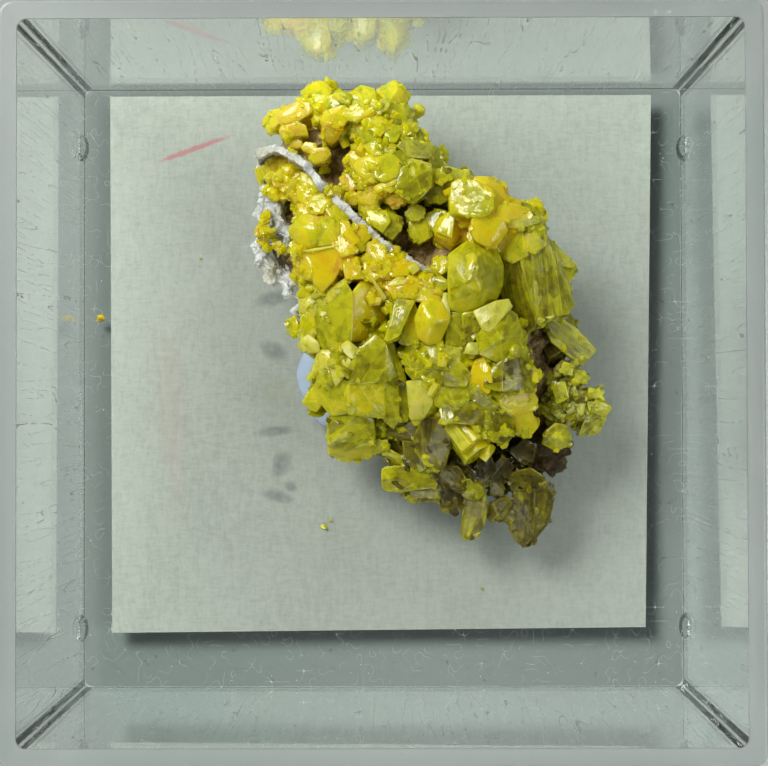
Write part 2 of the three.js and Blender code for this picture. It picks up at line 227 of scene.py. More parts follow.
# ---- Box ----
# An open tray injection-moulded in clear polystyrene: drafted walls 1 mm thick, a flat rim rubbed
# dull by its lid, and four small lens-shaped nubs at the foot of the side walls.
RIM_SIDE = 40 * MM
FOOT_SIDE = 39.4 * MM
BOX_HEIGHT = 20 * MM
WALL = 1 * MM
BOX_FLOOR = 1.2 * MM
OUTER_CORNER = 0.8 * MM
INNER_CORNER = 0.55 * MM
OUTER_EDGE = 0.2 * MM
INNER_EDGE = 0.35 * MM
CUT_THROUGH = 2 * MM
LEVEL_ENOUGH = 1e-7
NUB_PLACES = [(-18.78, -14.9, 2.6), (-18.78, 14.9, 2.6), (18.78, -14.8, 2.6), (18.78, 14.8, 2.6)]
NUB_RADII = (0.55 * MM, 0.85 * MM, 1.1 * MM, 1)


def drafted_block(rim_side, corner, low, high, edge):
    """A square block with rounded upright edges that narrows downwards with the mould's draft."""
    bm = bmesh.new()
    middle = Matrix.Translation((0, 0, (low + high) / 2))
    bmesh.ops.create_cube(bm, size=1, matrix=middle @ Matrix.Diagonal((rim_side, rim_side, high - low, 1)))
    upright = [e for e in bm.edges if abs(e.verts[0].co.z - e.verts[1].co.z) > (high - low) / 2]
    bmesh.ops.bevel(bm, geom=upright, offset=corner, segments=6, profile=0.5, affect="EDGES", material=-1)
    level = [e for e in bm.edges if abs(e.verts[0].co.z - e.verts[1].co.z) < LEVEL_ENOUGH]
    bmesh.ops.bevel(bm, geom=level, offset=edge, segments=3, profile=0.5, affect="EDGES", material=-1)
    draft = (RIM_SIDE - FOOT_SIDE) / BOX_HEIGHT
    for vert in bm.verts:
        vert.co.xy *= 1 - draft * (BOX_HEIGHT - vert.co.z) / rim_side
    return mesh_of(bm)


def finished_mesh(obj):
    """The mesh of an object with its modifiers applied."""
    return bpy.data.meshes.new_from_object(obj.evaluated_get(bpy.context.evaluated_depsgraph_get()))


def combined(meshes, how="UNION"):
    """Joins closed meshes in one solid, or cuts the others from the first."""
    others = bpy.data.collections.new("others")
    scene.collection.children.link(others)
    objects = [bpy.data.objects.new("part", m) for m in meshes]
    scene.collection.objects.link(objects[0])
    for obj in objects[1:]:
        others.objects.link(obj)
    join = objects[0].modifiers.new("join", "BOOLEAN")
    join.operation = how
    join.solver = "MANIFOLD"
    join.operand_type = "COLLECTION"
    join.collection = others
    whole = finished_mesh(objects[0])
    for obj in objects:
        bpy.data.objects.remove(obj)
    bpy.data.collections.remove(others)
    return whole


outside = drafted_block(RIM_SIDE, OUTER_CORNER, 0, BOX_HEIGHT, OUTER_EDGE)
inside = drafted_block(RIM_SIDE - 2 * WALL, INNER_CORNER, BOX_FLOOR, BOX_HEIGHT + CUT_THROUGH, INNER_EDGE)
tray = combined([outside, inside], "DIFFERENCE")
nubs = []
for place in NUB_PLACES:
    nub = bmesh.new()
    shape = Matrix.Translation(Vector(place) * MM) @ Matrix.Diagonal(NUB_RADII)
    bmesh.ops.create_uvsphere(nub, u_segments=24, v_segments=16, radius=1, matrix=shape)
    nubs.append(mesh_of(nub))
tray = combined([tray] + nubs)

# The hairlines are where a stretched noise crosses its middle value, in worn patches only.
HAIRLINE = 0.008
RUBBED_FROM, RUBBED_TO = 19.7, 19.95
POLISHED = 0.015
clear = Finish("clear polystyrene", base_color=(0.93, 0.965, 0.955, 1), transmission_weight=1.0, ior=1.58)
here = clear.place()
height = clear.add("ShaderNodeSeparateXYZ", None, {"Vector": here}, 2)
hair = clear.noise(clear.place((1.5, 1.3, 0.05)), 1.0, 0)
hairlines = clear.mask(hair, 0.5 - HAIRLINE, 0.5) * clear.mask(hair, 0.5 + HAIRLINE, 0.5)
worn = clear.mask(clear.noise(here, 0.8, 0), 0.45, 0.58)
specks = clear.mask(clear.cells(here, 1.3), 0.07, 0.03)
rubbed = clear.mask(height, RUBBED_FROM, RUBBED_TO)
marks = (hairlines * worn * 0.6 + specks * 0.6 + rubbed * 0.32).clamped()
clear.set(roughness=marks + POLISHED)
# Light on its way to the specimen goes straight through the walls.
on_its_way = clear.add("ShaderNodeLightPath", output="Is Shadow Ray")
passing = clear.add("ShaderNodeBsdfTransparent", None, {"Color": (0.9, 0.93, 0.92, 1)})
let_through = clear.add("ShaderNodeMixShader", None, {
    0: on_its_way, 1: Tap(clear, clear.surface.outputs[0]), 2: passing})
# Scratches, specks and the rubbed rim are paler than the clear plastic.
scuff = clear.add("ShaderNodeBsdfDiffuse", None, {"Color": (0.82, 0.86, 0.85, 1)})
scuffed = clear.add("ShaderNodeMixShader", None, {0: marks * 0.6, 1: let_through, 2: scuff})
clear.put(clear.output.inputs["Surface"], scuffed)
piece("box", tray, clear, "clear_plastic", ["box"])


# ---- Label card ----
# A slip of uncoated card cut by hand and laid face down on the floor of the box. Its fibres show,
# it is a little cockled and grubby, and a red pen has strayed over one corner.
CARD_CORNERS = [(-16.95, -15.3), (16.35, -15.0), (-17.1, 18.3), (16.85, 18.3)]
CARD_LOW = 1.27 * MM
CARD_THICKNESS = 0.2 * MM
COCKLE = 0.04 * MM

card = bmesh.new()
bmesh.ops.create_grid(card, x_segments=70, y_segments=70, size=1)
near_left, near_right, far_left, far_right = (Vector(c) * MM for c in CARD_CORNERS)
for vert in card.verts:
    u, v = (vert.co.x + 1) / 2, (vert.co.y + 1) / 2
    flat = near_left.lerp(near_right, u).lerp(far_left.lerp(far_right, u), v)
    cockle = COCKLE * (1 + noise.noise(Vector((u * 3.1, v * 2.7, 0))))
    vert.co = (flat.x, flat.y, CARD_LOW + CARD_THICKNESS + cockle)
bmesh.ops.solidify(card, geom=card.faces[:], thickness=CARD_THICKNESS)

# Marks on the card: place and radii in millimetres, and turn in degrees.
PEN_STROKE = (-11.8, 15.0, 2.0, 0.16, 20)
OIL_STAIN = (-6.6, -0.2, 1.0, 0.7, 0)
SMUDGES = [(-6.9, 5.6, 0.9, 0.45, 10), (-6.8, 2.3, 0.8, 0.5, -20), (-6.7, -2.7, 1.0, 0.3, 5),
           (-6.4, -4.8, 0.8, 0.5, 70), (-6.6, -6.8, 0.9, 0.35, -15), (-5.8, -6.2, 0.4, 0.3, 0)]
PINK_SMEAR = (-13.2, -1.5, 0.8, 5.0, 3)

paper = Finish("uncoated card", roughness=0.92, specular_ior_level=0.15)
here = paper.place()


def spot(x, y, rx, ry, turn, edge=0.5):
    """A soft-edged oval mark on the card: 1 inside, 0 outside."""
    flat = {"Vector": paper.place((1, 1, 0)), "Location": (x, y, 0), "Scale": (rx, ry, 1),
            "Rotation": (0, 0, math.radians(turn))}
    own = paper.add("ShaderNodeMapping", {"vector_type": "TEXTURE"}, flat)
    reach = paper.add("ShaderNodeVectorMath", {"operation": "LENGTH"}, {0: own}, "Value")
    return paper.mask(reach + (ragged - 0.5) * 1.6, 1 + edge, 1 - edge)


fibres = paper.noise(paper.place((1.6, 0.5, 1)), 2.2, 3, 0.62, 0.6)
cross_fibres = paper.noise(paper.place((0.5, 1.7, 1)), 2.6, 3, 0.62, 0.8)
cloud = paper.noise(here, 0.12, 4)
ragged = paper.noise(here, 1.8, 4, 0.65)
# Painted shade: the card is coloured darker towards the lower right, away from the key lamp.
painted_shade_lower_right = paper.mask(paper.add("ShaderNodeVectorMath", {"operation": "DOT_PRODUCT"},
                             {0: here, 1: (0.7, -0.7, 0)}, "Value"), -20, 26)
pulp = paper.ramp(fibres * 0.4 + cross_fibres * 0.35 + cloud * 0.25,
                  [(0.36, (0.315, 0.34, 0.295)), (0.52, (0.38, 0.41, 0.36)), (0.7, (0.44, 0.465, 0.41))])
pulp = paper.mix(painted_shade_lower_right * 0.42, pulp, (0.20, 0.23, 0.20, 1))
pulp = paper.mix(paper.mask(ragged, 0.55, 0.85) * 0.25, pulp, (0.33, 0.33, 0.25, 1))
shadowy = sum(spot(*s) for s in SMUDGES).clamped()
pulp = paper.mix(shadowy * ragged * 1.1, pulp, (0.14, 0.16, 0.15, 1))
pulp = paper.mix(spot(*OIL_STAIN) * 0.3, pulp, (0.30, 0.30, 0.19, 1))
pulp = paper.mix(spot(*PINK_SMEAR) * 0.16, pulp, (0.42, 0.26, 0.22, 1))
pulp = paper.mix(spot(*PEN_STROKE, 0.4) * 0.6, pulp, (0.48, 0.10, 0.13, 1))
card_mesh = mesh_of(card)
paper.set(base_color=pulp, normal=paper.bump(fibres * 0.6 + cross_fibres * 0.4, 0.06, 0.5))
piece("label_card", card_mesh, paper, "card", ["label_card"])


# ---- Rough solids ----
# Rock, quartz, putty and the massive crust under the crystals all start as overlapping lumps,
# which are fused on a fine grid and then weathered by moving each point along its normal.


def fused(meshes, voxel):
    """Fuses overlapping closed meshes in one skin of even faces."""
    bm = bmesh.new()
    for mesh in meshes:
        bm.from_mesh(mesh)
    obj = bpy.data.objects.new("fuse", mesh_of(bm))
    scene.collection.objects.link(obj)
    grid = obj.modifiers.new("grid", "REMESH")
    grid.mode = "VOXEL"
    grid.voxel_size = voxel * MM
    skin = finished_mesh(obj)
    bpy.data.objects.remove(obj)
    return skin


MIDDLE_BUMP = 0.35


def weathered(mesh, layers):
    """Moves each point along its normal, by layers of (bumps a millimetre, depth in millimetres)."""
    count = len(mesh.vertices)
    points = np.empty(count * 3)
    mesh.vertices.foreach_get("co", points)
    normals = np.empty(count * 3)
    mesh.vertices.foreach_get("normal", normals)
    points = points.reshape(-1, 3)
    normals = normals.reshape(-1, 3)
    moved = np.zeros(count)
    for rate, depth in layers:
        at = [noise.turbulence(Vector(p) * rate / MM, 2, False) for p in points]
        moved += (np.clip(np.array(at), 0, 1) - MIDDLE_BUMP) * depth * MM
    points += normals * moved[:, None]
    mesh.vertices.foreach_set("co", points.ravel())
    mesh.update()
    return mesh


def lump(x, y, z, rx, ry, rz):
    """A rough ball, in millimetres."""
    bm = bmesh.new()
    shape = Matrix.Translation(Vector((x, y, z)) * MM) @ Matrix.Diagonal((rx * MM, ry * MM, rz * MM, 1))
    bmesh.ops.create_icosphere(bm, subdivisions=3, radius=1, matrix=shape)
    return mesh_of(bm)


# ---- Putty ----
# A pinch of pale blue mineral putty holds the specimen. It is pressed flat between the card and the
# rock, and is gritty and smeared where it shows.
PUTTY = [(-1.9, 0.8, 2.6, 3.5, 3.6, 1.3), (0.2, 2.4, 2.7, 4.2, 4.6, 1.2), (-0.6, 1.6, 3.6, 3.4, 3.8, 1.2)]
PUTTY_LOW = 1.5 * MM
putty_mesh = weathered(fused([lump(*l) for l in PUTTY], 0.18), [(0.25, 0.5), (0.9, 0.12)])
for vert in putty_mesh.vertices:
    vert.co.z = max(vert.co.z, PUTTY_LOW)
clay = Finish("blue putty", roughness=0.62, subsurface_weight=0.25, subsurface_scale=0.6 * MM,
              subsurface_radius=(1.0, 1.1, 1.3))
here = clay.place()
smear = clay.noise(here, 0.5, 4)
grit = clay.mask(clay.cells(here, 0.8), 0.1, 0.06)
blue = clay.ramp(smear, [(0.3, (0.30, 0.39, 0.50)), (0.7, (0.38, 0.47, 0.58))])
clay.set(base_color=clay.mix(grit * 0.8, blue, (0.03, 0.04, 0.06, 1)),
         normal=clay.bump(clay.noise(here, 1.6, 3), 0.08, 0.6))
putty_mesh.shade_smooth()
piece("putty", putty_mesh, clay, "putty", ["putty"])


# ---- Rock ----
# The brown matrix that everything grew on, with sandy, pinkish and rusty patches. It is a broken
# fragment, and it shows only in the hollows and along the lower right edge.
ROCK = [
    (-4.2, 14.2, 6.1, 2.2, 2.0, 1.7), (0.0, 13.2, 6.6, 2.6, 3.2, 1.9), (2.6, 11.0, 6.6, 2.2, 2.0, 2.0),
    (-4.0, 9.2, 6.3, 2.6, 3.8, 1.9), (-3.0, 5.4, 6.2, 2.0, 3.0, 1.9), (5.0, 7.4, 6.9, 4.0, 3.8, 2.2),
    (1.2, 8.6, 7.0, 2.4, 1.8, 1.7), (-0.6, 3.0, 6.4, 3.0, 4.6, 2.0), (4.6, 0.0, 6.4, 4.2, 4.6, 2.0),
    (-1.8, 14.6, 6.3, 1.3, 1.2, 1.4), (8.6, 0.2, 5.9, 2.6, 3.2, 1.6), (9.1, -3.7, 5.5, 2.5, 2.1, 1.7),
    (8.4, 2.9, 6.8, 2.0, 1.8, 1.4),
]
rock_mesh = weathered(fused([lump(*l) for l in ROCK], 0.17),
                      [(0.35, 1.0), (1.1, 0.5), (3.2, 0.22)])
stone = Finish("brown matrix", specular_ior_level=0.3)
here = stone.place()
broad = stone.noise(here, 0.45, 4)
fine = stone.noise(here, 3.0, 6, 0.6)
sandy = stone.mask(stone.add("ShaderNodeSeparateXYZ", None, {"Vector": here}, 1), -2, 6)
brown = stone.ramp(broad * 0.6 + fine * 0.4 + sandy * 0.14, [
    (0.36, (0.030, 0.015, 0.002)), (0.48, (0.060, 0.034, 0.006)), (0.56, (0.15, 0.10, 0.03)),
    (0.66, (0.36, 0.25, 0.11)), (0.8, (0.55, 0.42, 0.25))])
stone.set(base_color=brown, roughness=stone.mask(broad, 0.3, 0.7) * 0.5 + 0.3,
          normal=stone.bump(fine, 0.12, 0.8))
piece("matrix", rock_mesh, stone, "rock", ["matrix"])


# ---- Quartz ----
# A thin curved vein of sugary grey-white quartz stands up between the crystals like a wall, and a
# ragged rind of the same quartz runs down the left edge.
WALL_ROUTE = [(-7.5, 13.7), (-6.3, 14.05), (-5.2, 13.6), (-4.1, 12.8), (-3.1, 11.5), (-2.0, 10.45),
              (-0.8, 9.35), (0.4, 8.25), (1.7, 7.45), (3.0, 6.5)]
WALL_THICKNESS = 0.56
WALL_FOOT = 5.6
WALL_HEIGHT = 4.5
WALL_FALLS_FROM = -4
WALL_FALL = 0.2
WALL_RAGGEDNESS = 0.25
RIND = [
    (-6.2, 10.2, 6.9, 0.8, 1.9, 1.2), (-5.5, 8.8, 7.2, 0.6, 1.2, 1.0), (-7.1, 8.4, 6.0, 0.9, 1.5, 0.9),
    (-6.5, 7.0, 6.0, 0.8, 1.2, 0.9), (-5.6, 6.0, 6.0, 0.6, 1.0, 0.9), (-6.9, 12.1, 6.5, 0.8, 1.9, 1.0),
    (-6.8, 13.9, 7.0, 0.8, 0.5, 0.9), (-7.0, 10.2, 6.4, 0.7, 0.9, 0.8), (-4.9, 4.9, 6.4, 0.4, 0.9, 0.9),
]


def along_route(route, share):
    """The point at a share of the way along a smoothed route of plan points."""
    at = share * (len(route) - 1)
    i = min(int(at), len(route) - 2)
    t = at - i
    knots = [Vector(route[min(max(k, 0), len(route) - 1)]) for k in range(i - 1, i + 3)]
    a, b, c, d = knots
    return 0.5 * (2 * b + (c - a) * t + (2 * a - 5 * b + 4 * c - d) * t ** 2
                  + (3 * b - a - 3 * c + d) * t ** 3)


wall = bmesh.new()
bmesh.ops.create_grid(wall, x_segments=240, y_segments=46, size=1)
for vert in wall.verts:
    point = along_route(WALL_ROUTE, (vert.co.x + 1) / 2)
    level = WALL_FOOT + WALL_HEIGHT * (vert.co.y + 1) / 2 + WALL_FALL * min(point.x - WALL_FALLS_FROM, 0)
    level += WALL_RAGGEDNESS * (vert.co.y + 1) * noise.noise(Vector((point.x * 1.3, point.y * 1.3, 3)))
    vert.co = Vector((point.x, point.y, level)) * MM
bmesh.ops.recalc_face_normals(wall, faces=wall.faces[:])
bmesh.ops.solidify(wall, geom=wall.faces[:], thickness=WALL_THICKNESS * MM)
bmesh.ops.recalc_face_normals(wall, faces=wall.faces[:])
wall_mesh = weathered(mesh_of(wall), [(0.9, 0.22), (3.5, 0.16)])
rind_mesh = weathered(fused([lump(*l) for l in RIND], 0.1), [(0.8, 0.7), (2.5, 0.35), (6.0, 0.12)])
sugar = Finish("sugary quartz", subsurface_weight=0.4, subsurface_scale=0.5 * MM,
               subsurface_radius=(1.0, 1.0, 1.0), ior=1.54)
here = sugar.place()
grains = sugar.cells(here, 7.0)
cloud = sugar.noise(here, 1.1, 5)
stain = sugar.mask(sugar.noise(here, 0.5, 3), 0.5, 0.7)
white = sugar.ramp(cloud, [
    (0.34, (0.46, 0.48, 0.45)), (0.5, (0.62, 0.64, 0.61)), (0.66, (0.80, 0.81, 0.78))])
sugar.set(base_color=sugar.mix(stain * 0.45, white, (0.46, 0.42, 0.20, 1)),
          roughness=grains * 0.5 + 0.2, normal=sugar.bump(grains, 0.08, 0.7))
piece("quartz_wall", wall_mesh, sugar, "quartz", ["quartz_wall"])
piece("quartz_rind", rind_mesh, sugar, "quartz", ["quartz_rind"])


# ---- Crystal finish ----
# Pyromorphite is resinous and translucent: light sinks in and it turns olive where the crystal is
# thick. The yellow glow at its thin edges is a painted glow: worn edge faces are coloured brighter and
# paler. Its sides are streaked along their length and chipped.


def crystal_finish(name, striation=1.0):
    """Each face says how it differs: tint (dark olive to amber), frosting with a painted sheen (pale and
    dull), and edge, for a painted glow.
    """
    resin = Finish(name, transmission_weight=0.15, ior=1.55, subsurface_weight=0.8,
                   subsurface_scale=1.0 * MM, subsurface_radius=(1.0, 0.9, 0.05))
    grown = resin.add("ShaderNodeAttribute", {"attribute_name": "grown"}, output="Vector")
    tint, frost, edge = (resin.add("ShaderNodeAttribute", {"attribute_name": a}, output="Fac")
                         for a in ("tint", "frost", "edge"))
    here = resin.place()

    def stretched(x, y, z):
        return resin.add("ShaderNodeMapping", None, {"Vector": grown, "Scale": (x, y, z)})

    def facets(vector, scale):
        """Small flat faces, each tilted its own way: their height, and one number a face."""
        cell = resin.cells(vector, scale, "Color")
        middle = Tap(resin, cell.socket.node.outputs["Position"])
        tilt = resin.add("ShaderNodeVectorMath", {"operation": "SUBTRACT"}, {0: cell, 1: (0.5, 0.5, 0.5)})
        arm = resin.add("ShaderNodeVectorMath", {"operation": "SUBTRACT"}, {0: vector, 1: middle})
        height = resin.add("ShaderNodeVectorMath", {"operation": "DOT_PRODUCT"}, {0: tilt, 1: arm}, "Value")
        return height, resin.add("ShaderNodeSeparateColor", None, {"Color": cell}, 0)

    steps, step_tone = facets(stretched(1.0, 1.0, 0.35), 1.5)
    chips, chip_tone = facets(here, 3.2)
    streaks = resin.noise(stretched(5.0, 5.0, 0.4), 1.0, 4, 0.6)
    cloud = resin.noise(here, 0.6, 5, 0.6, 0.8)
    waves = resin.noise(here, 2.4, 3, 0.5, 0.3)
    flecks = resin.mask(resin.noise(here, 7.0, 3, 0.6), 0.62, 0.74)
    # edge * 0.08 here and edge * 0.15 below paint a glow on worn edges: brighter, more yellow and paler.
    shade = (tint + (cloud - 0.5) * 0.45 + (streaks - 0.5) * (0.15 * striation) + edge * 0.08
             + (step_tone - 0.5) * 0.14 + (chip_tone - 0.5) * 0.10)
    colour = resin.ramp(shade, [
        (0.00, (0.024, 0.016, 0.001)), (0.15, (0.070, 0.054, 0.001)), (0.30, (0.175, 0.145, 0.001)),
        (0.45, (0.380, 0.372, 0.001)), (0.57, (0.600, 0.585, 0.001)), (0.70, (0.800, 0.690, 0.001)),
        (0.86, (0.820, 0.580, 0.001)), (1.00, (0.660, 0.340, 0.002))])
    # Paler and duller where frosted or flecked, and where F faces and worn edges carry a painted sheen and
    # glow.
    frost_sheen_and_glow = (frost * (resin.mask(waves, 0.3, 0.6) * 0.5 + 0.5) + edge * 0.15 + flecks * 0.3).clamped()
    resin.set(base_color=resin.mix(frost_sheen_and_glow * (shade * 0.9 + 0.1).clamped(), colour, (0.76, 0.76, 0.20, 1)),
              roughness=(streaks * 0.15 + frost_sheen_and_glow * 0.35 + 0.08).clamped())
    carved = resin.bump(steps, 0.30, 0.8)
    chipped = resin.bump(chips, 0.16, 0.8, carved)
    resin.set(normal=resin.bump(streaks * (0.6 * striation) + waves * 0.5, 0.08, 0.5, chipped))
    return resin


resin = crystal_finish("resinous pyromorphite")
striated = crystal_finish("striated pyromorphite", 3.0)


# ---- Crystals ----
# Each is a six-sided prism or, where it has grown against others, a body with faces of its own, all
# with worn edges. They overlap, and a group that has grown together is joined in one solid.
MEASURED_HEIGHT = 9
OVERLAP = 0.14 * MM
UP = Vector((0, 0, 1))
IN_PLACE = Matrix.Identity(4)
PATTERN_SPAN = 90
SHARP_FROM = math.radians(32)
dice = random.Random(41)


def stamped(mesh, matrix, tint, frost=0.0, along=None):
    """Moves a crystal into place, keeping its own coordinates for its streaks, and its colour."""
    corners = np.empty(len(mesh.loops), dtype=np.int32)
    mesh.loops.foreach_get("vertex_index", corners)
    points = np.empty(len(mesh.vertices) * 3)
    mesh.vertices.foreach_get("co", points)
    own = points.reshape(-1, 3) / MM
    if along is not None:
        own = own @ np.array(along.to_track_quat("Z", "Y").to_matrix())
    own = own[corners] + dice.uniform(0, PATTERN_SPAN)
    mesh.attributes.new("grown", "FLOAT_VECTOR", "CORNER").data.foreach_set("vector", own.ravel())
    for name, value in (("tint", tint), ("frost", frost)):
        values = np.full(len(mesh.polygons), value)
        mesh.attributes.new(name, "FLOAT", "FACE").data.foreach_set("value", values)
    mesh.transform(matrix)
    return mesh


def worn_down(bm, edges, offset, segments):
    """Rounds edges, and marks the narrow faces that this leaves, for a painted glow of light coming
    through.
    """
    edge_glow = bm.faces.layers.float.new("edge")
    rounded = bmesh.ops.bevel(bm, geom=edges, offset=offset, segments=segments, profile=0.5,
                              affect="EDGES", material=-1, clamp_overlap=True)
    for face in rounded["faces"]:
        face[edge_glow] = 1.0 / segments


ROOT_SHARE, END_SHARE = 0.86, 0.97
UNEVEN_SIDES = (0.82, 1.12)
END_WEAR = 0.06
STEP_WIDTH = (0.1, 0.18)
STEP_DROPS = (-0.08, 0.04)


def prism(radius, length, steps=0):
    """A crystal in millimetres, its free end at the origin, growing up along Z."""
    bm = bmesh.new()
    long = length / radius
    bmesh.ops.create_cone(bm, cap_ends=True, segments=6, radius1=ROOT_SHARE, radius2=END_SHARE,
                          depth=long, matrix=Matrix.Translation((0, 0, -long / 2)))
    uneven = [dice.uniform(*UNEVEN_SIDES) for _ in range(6)]
    for vert in bm.verts:
        side = round(math.degrees(math.atan2(vert.co.y, vert.co.x)) / 60) % 6
        vert.co.xy *= uneven[side]
    edges = [e for e in bm.edges if max(v.co.z for v in e.verts) > -long + 0.01]
    worn_down(bm, edges, END_WEAR, 1)
    end = max(bm.faces, key=lambda f: f.calc_center_median().z)
    for _ in range(steps):
        bmesh.ops.inset_individual(bm, faces=[end], thickness=dice.uniform(*STEP_WIDTH), depth=0)
        bmesh.ops.translate(bm, verts=end.verts[:], vec=(0, 0, dice.choice(STEP_DROPS)))
    bmesh.ops.scale(bm, verts=bm.verts[:], vec=(radius * MM,) * 3)
    bmesh.ops.recalc_face_normals(bm, faces=bm.faces[:])
    return mesh_of(bm)


BREAK_LEAN = (12, 62)
BREAK_REACH = (0.3, 0.55)


def chunk():
    """A short broken crystal about a unit in radius, its free end up."""
    bm = bmesh.new()
    turned = Matrix.Rotation(dice.uniform(0, 1), 4, "Z")
    bmesh.ops.create_cone(bm, cap_ends=True, segments=6, radius1=0.9, radius2=1, depth=2.2,
                          matrix=Matrix.Translation((0, 0, -0.6)) @ turned)
    for _ in range(dice.choice((1, 2, 2, 3))):
        lean = math.radians(dice.uniform(*BREAK_LEAN))
        turn = dice.uniform(0, math.tau)
        cut = Vector((math.sin(lean) * math.cos(turn), math.sin(lean) * math.sin(turn), math.cos(lean)))
        bmesh.ops.bisect_plane(bm, geom=bm.verts[:] + bm.edges[:] + bm.faces[:], clear_outer=True,
                               plane_co=cut * dice.uniform(*BREAK_REACH), plane_no=cut)
        bmesh.ops.holes_fill(bm, edges=[e for e in bm.edges if e.is_boundary])
    bmesh.ops.recalc_face_normals(bm, faces=bm.faces[:])
    bmesh.ops.scale(bm, verts=bm.verts[:], vec=(MM,) * 3)
    return mesh_of(bm)


CHUNK_SHAPES = 24
CHUNKS = [chunk() for _ in range(CHUNK_SHAPES)]
TINT_SPREAD = 0.06


def grain(at, out, radius, tint, frost=0.0):
    """One small broken crystal at a point, its free end standing out along out."""
    copy = dice.choice(CHUNKS).copy()
    flat, tall = dice.uniform(0.7, 1), dice.uniform(0.8, 1.4)
    copy.transform(Matrix.Diagonal((radius, radius * flat, radius * tall, 1)))
    stand = out.to_track_quat("Z", "Y").to_matrix().to_4x4() @ Matrix.Rotation(dice.uniform(0, 6), 4, "Z")
    return stamped(copy, Matrix.Translation(at) @ stand, tint + dice.gauss(0, TINT_SPREAD), frost)


def seen(x, y, z):
    """The point at height z on the camera's line of sight through x, y at MEASURED_HEIGHT."""
    level = Vector((x, y, MEASURED_HEIGHT)) * MM
    return CAMERA_PLACE.lerp(level, (CAMERA_PLACE.z - z * MM) / (CAMERA_PLACE.z - level.z))


def mirroring(corners, slant=(0, 0, 0)):
    """The corners of a face, tilted so that it mirrors the key lamp, or nearly, to the camera."""
    middle = sum(corners, Vector()) / len(corners)
    normal = (CAMERA_PLACE - middle).normalized() + (KEY_PLACE - middle).normalized()
    normal = normal.normalized() + Vector(slant)
    return [Vector((c.x, c.y, middle.z - (c - middle).xy.dot(normal.xy) / normal.z)) for c in corners]


# What a letter of a crystal's kind stands for: how far its face leans from mirroring the lamp, and
# how pale and dull it is made: frosting, which for F also paints a sheen where the face catches light.
NEARLY_MIRRORING = (0.10, -0.06, 0)
FROST_AND_SHEEN = {"F": 0.65, "f": 0.4, "m": 0.2}
WAXY_EDGE = 0.3 * MM
WORN_EDGE = 0.1 * MM
SAME_FACE = math.radians(5)
WEARS_FROM = 0.1
CHIPS_A_MILLIMETRE = 1.1
CHIP_RADII = (0.1, 0.3)
CHIP_INSETS = (0.02, 0.3)
CHIP_SPLAY = 0.8
CHIP_ROOT = 0.35


def faceted(tint, kind, depth, corners):
    """A crystal whose free faces span the corners. Its kind has a letter for each way it is special:
    w waxy and round-edged, f with frosting, F white with frosting and a painted sheen, m dull,
    l plain-edged, ! mirrors the lamp, s nearly does. Crystals without w, F, l or ! are chipped along the
    rim."""
    corners = [seen(*c) for c in corners]
    if "!" in kind:
        corners = mirroring(corners)
    elif "s" in kind:
        corners = mirroring(corners, NEARLY_MIRRORING)
    middle = sum(corners, Vector()) / len(corners)
    if "!" not in kind:
        corners = [c + (c - middle).normalized() * OVERLAP for c in corners]
    bm = bmesh.new()
    for corner in corners:
        bm.verts.new(corner)
        bm.verts.new(corner - Vector((0, 0, depth * MM)))
    bmesh.ops.convex_hull(bm, input=bm.verts[:])
    bmesh.ops.delete(bm, geom=[v for v in bm.verts if not v.link_faces], context="VERTS")
    bmesh.ops.dissolve_limit(bm, angle_limit=SAME_FACE, verts=bm.verts[:], edges=bm.edges[:])
    sharp = [e for e in bm.edges if e.calc_face_angle(0) > WEARS_FROM]
    worn_down(bm, sharp, *((WAXY_EDGE, 3) if "w" in kind else (WORN_EDGE, 2)))
    bmesh.ops.recalc_face_normals(bm, faces=bm.faces[:])
    body = mesh_of(bm)
    spread = np.array([c - middle for c in corners])
    along = Vector(np.linalg.eigh(spread.T @ spread)[1][:, 2])
    frosts_and_sheens = [FROST_AND_SHEEN[letter] for letter in kind if letter in FROST_AND_SHEEN]
    frost = frosts_and_sheens[0] if frosts_and_sheens else dice.uniform(0, 0.1)
    made = [stamped(body, IN_PLACE, tint, frost, along)]
    if set("w!Fl") & set(kind):
        return made
    rim = sorted(corners, key=lambda c: math.atan2(c.y - middle.y, c.x - middle.x))
    for one, other in zip(rim, rim[1:] + rim[:1]):
        for _ in range(round((other - one).length / MM * CHIPS_A_MILLIMETRE)):
            at = one.lerp(other, dice.random()).lerp(middle, dice.uniform(*CHIP_INSETS))
            out = UP + (at - middle).normalized() * dice.uniform(0, CHIP_SPLAY)
            radius = dice.uniform(*CHIP_RADII)
            made.append(grain(at - out.normalized() * radius * CHIP_ROOT * MM, out, radius, tint, frost))
    return made


def standing(x, y, z, heading, rise, twist):
    """The matrix that puts a crystal's free end at x, y, z, pointing along its heading."""
    turn = Euler((0, math.radians(90 - rise), math.radians(heading))).to_matrix().to_4x4()
    return Matrix.Translation(Vector((x, y, z)) * MM) @ turn @ Matrix.Rotation(math.radians(twist), 4, "Z")


SIBLING_RADII = (0.3, 0.6)
SIBLING_LENGTHS = (0.7, 0.95)
SIBLING_SINK = (0.1, 0.7)
SIBLING_DROP = (-0.1, 0.5)
SIBLING_LEAN = 2.5


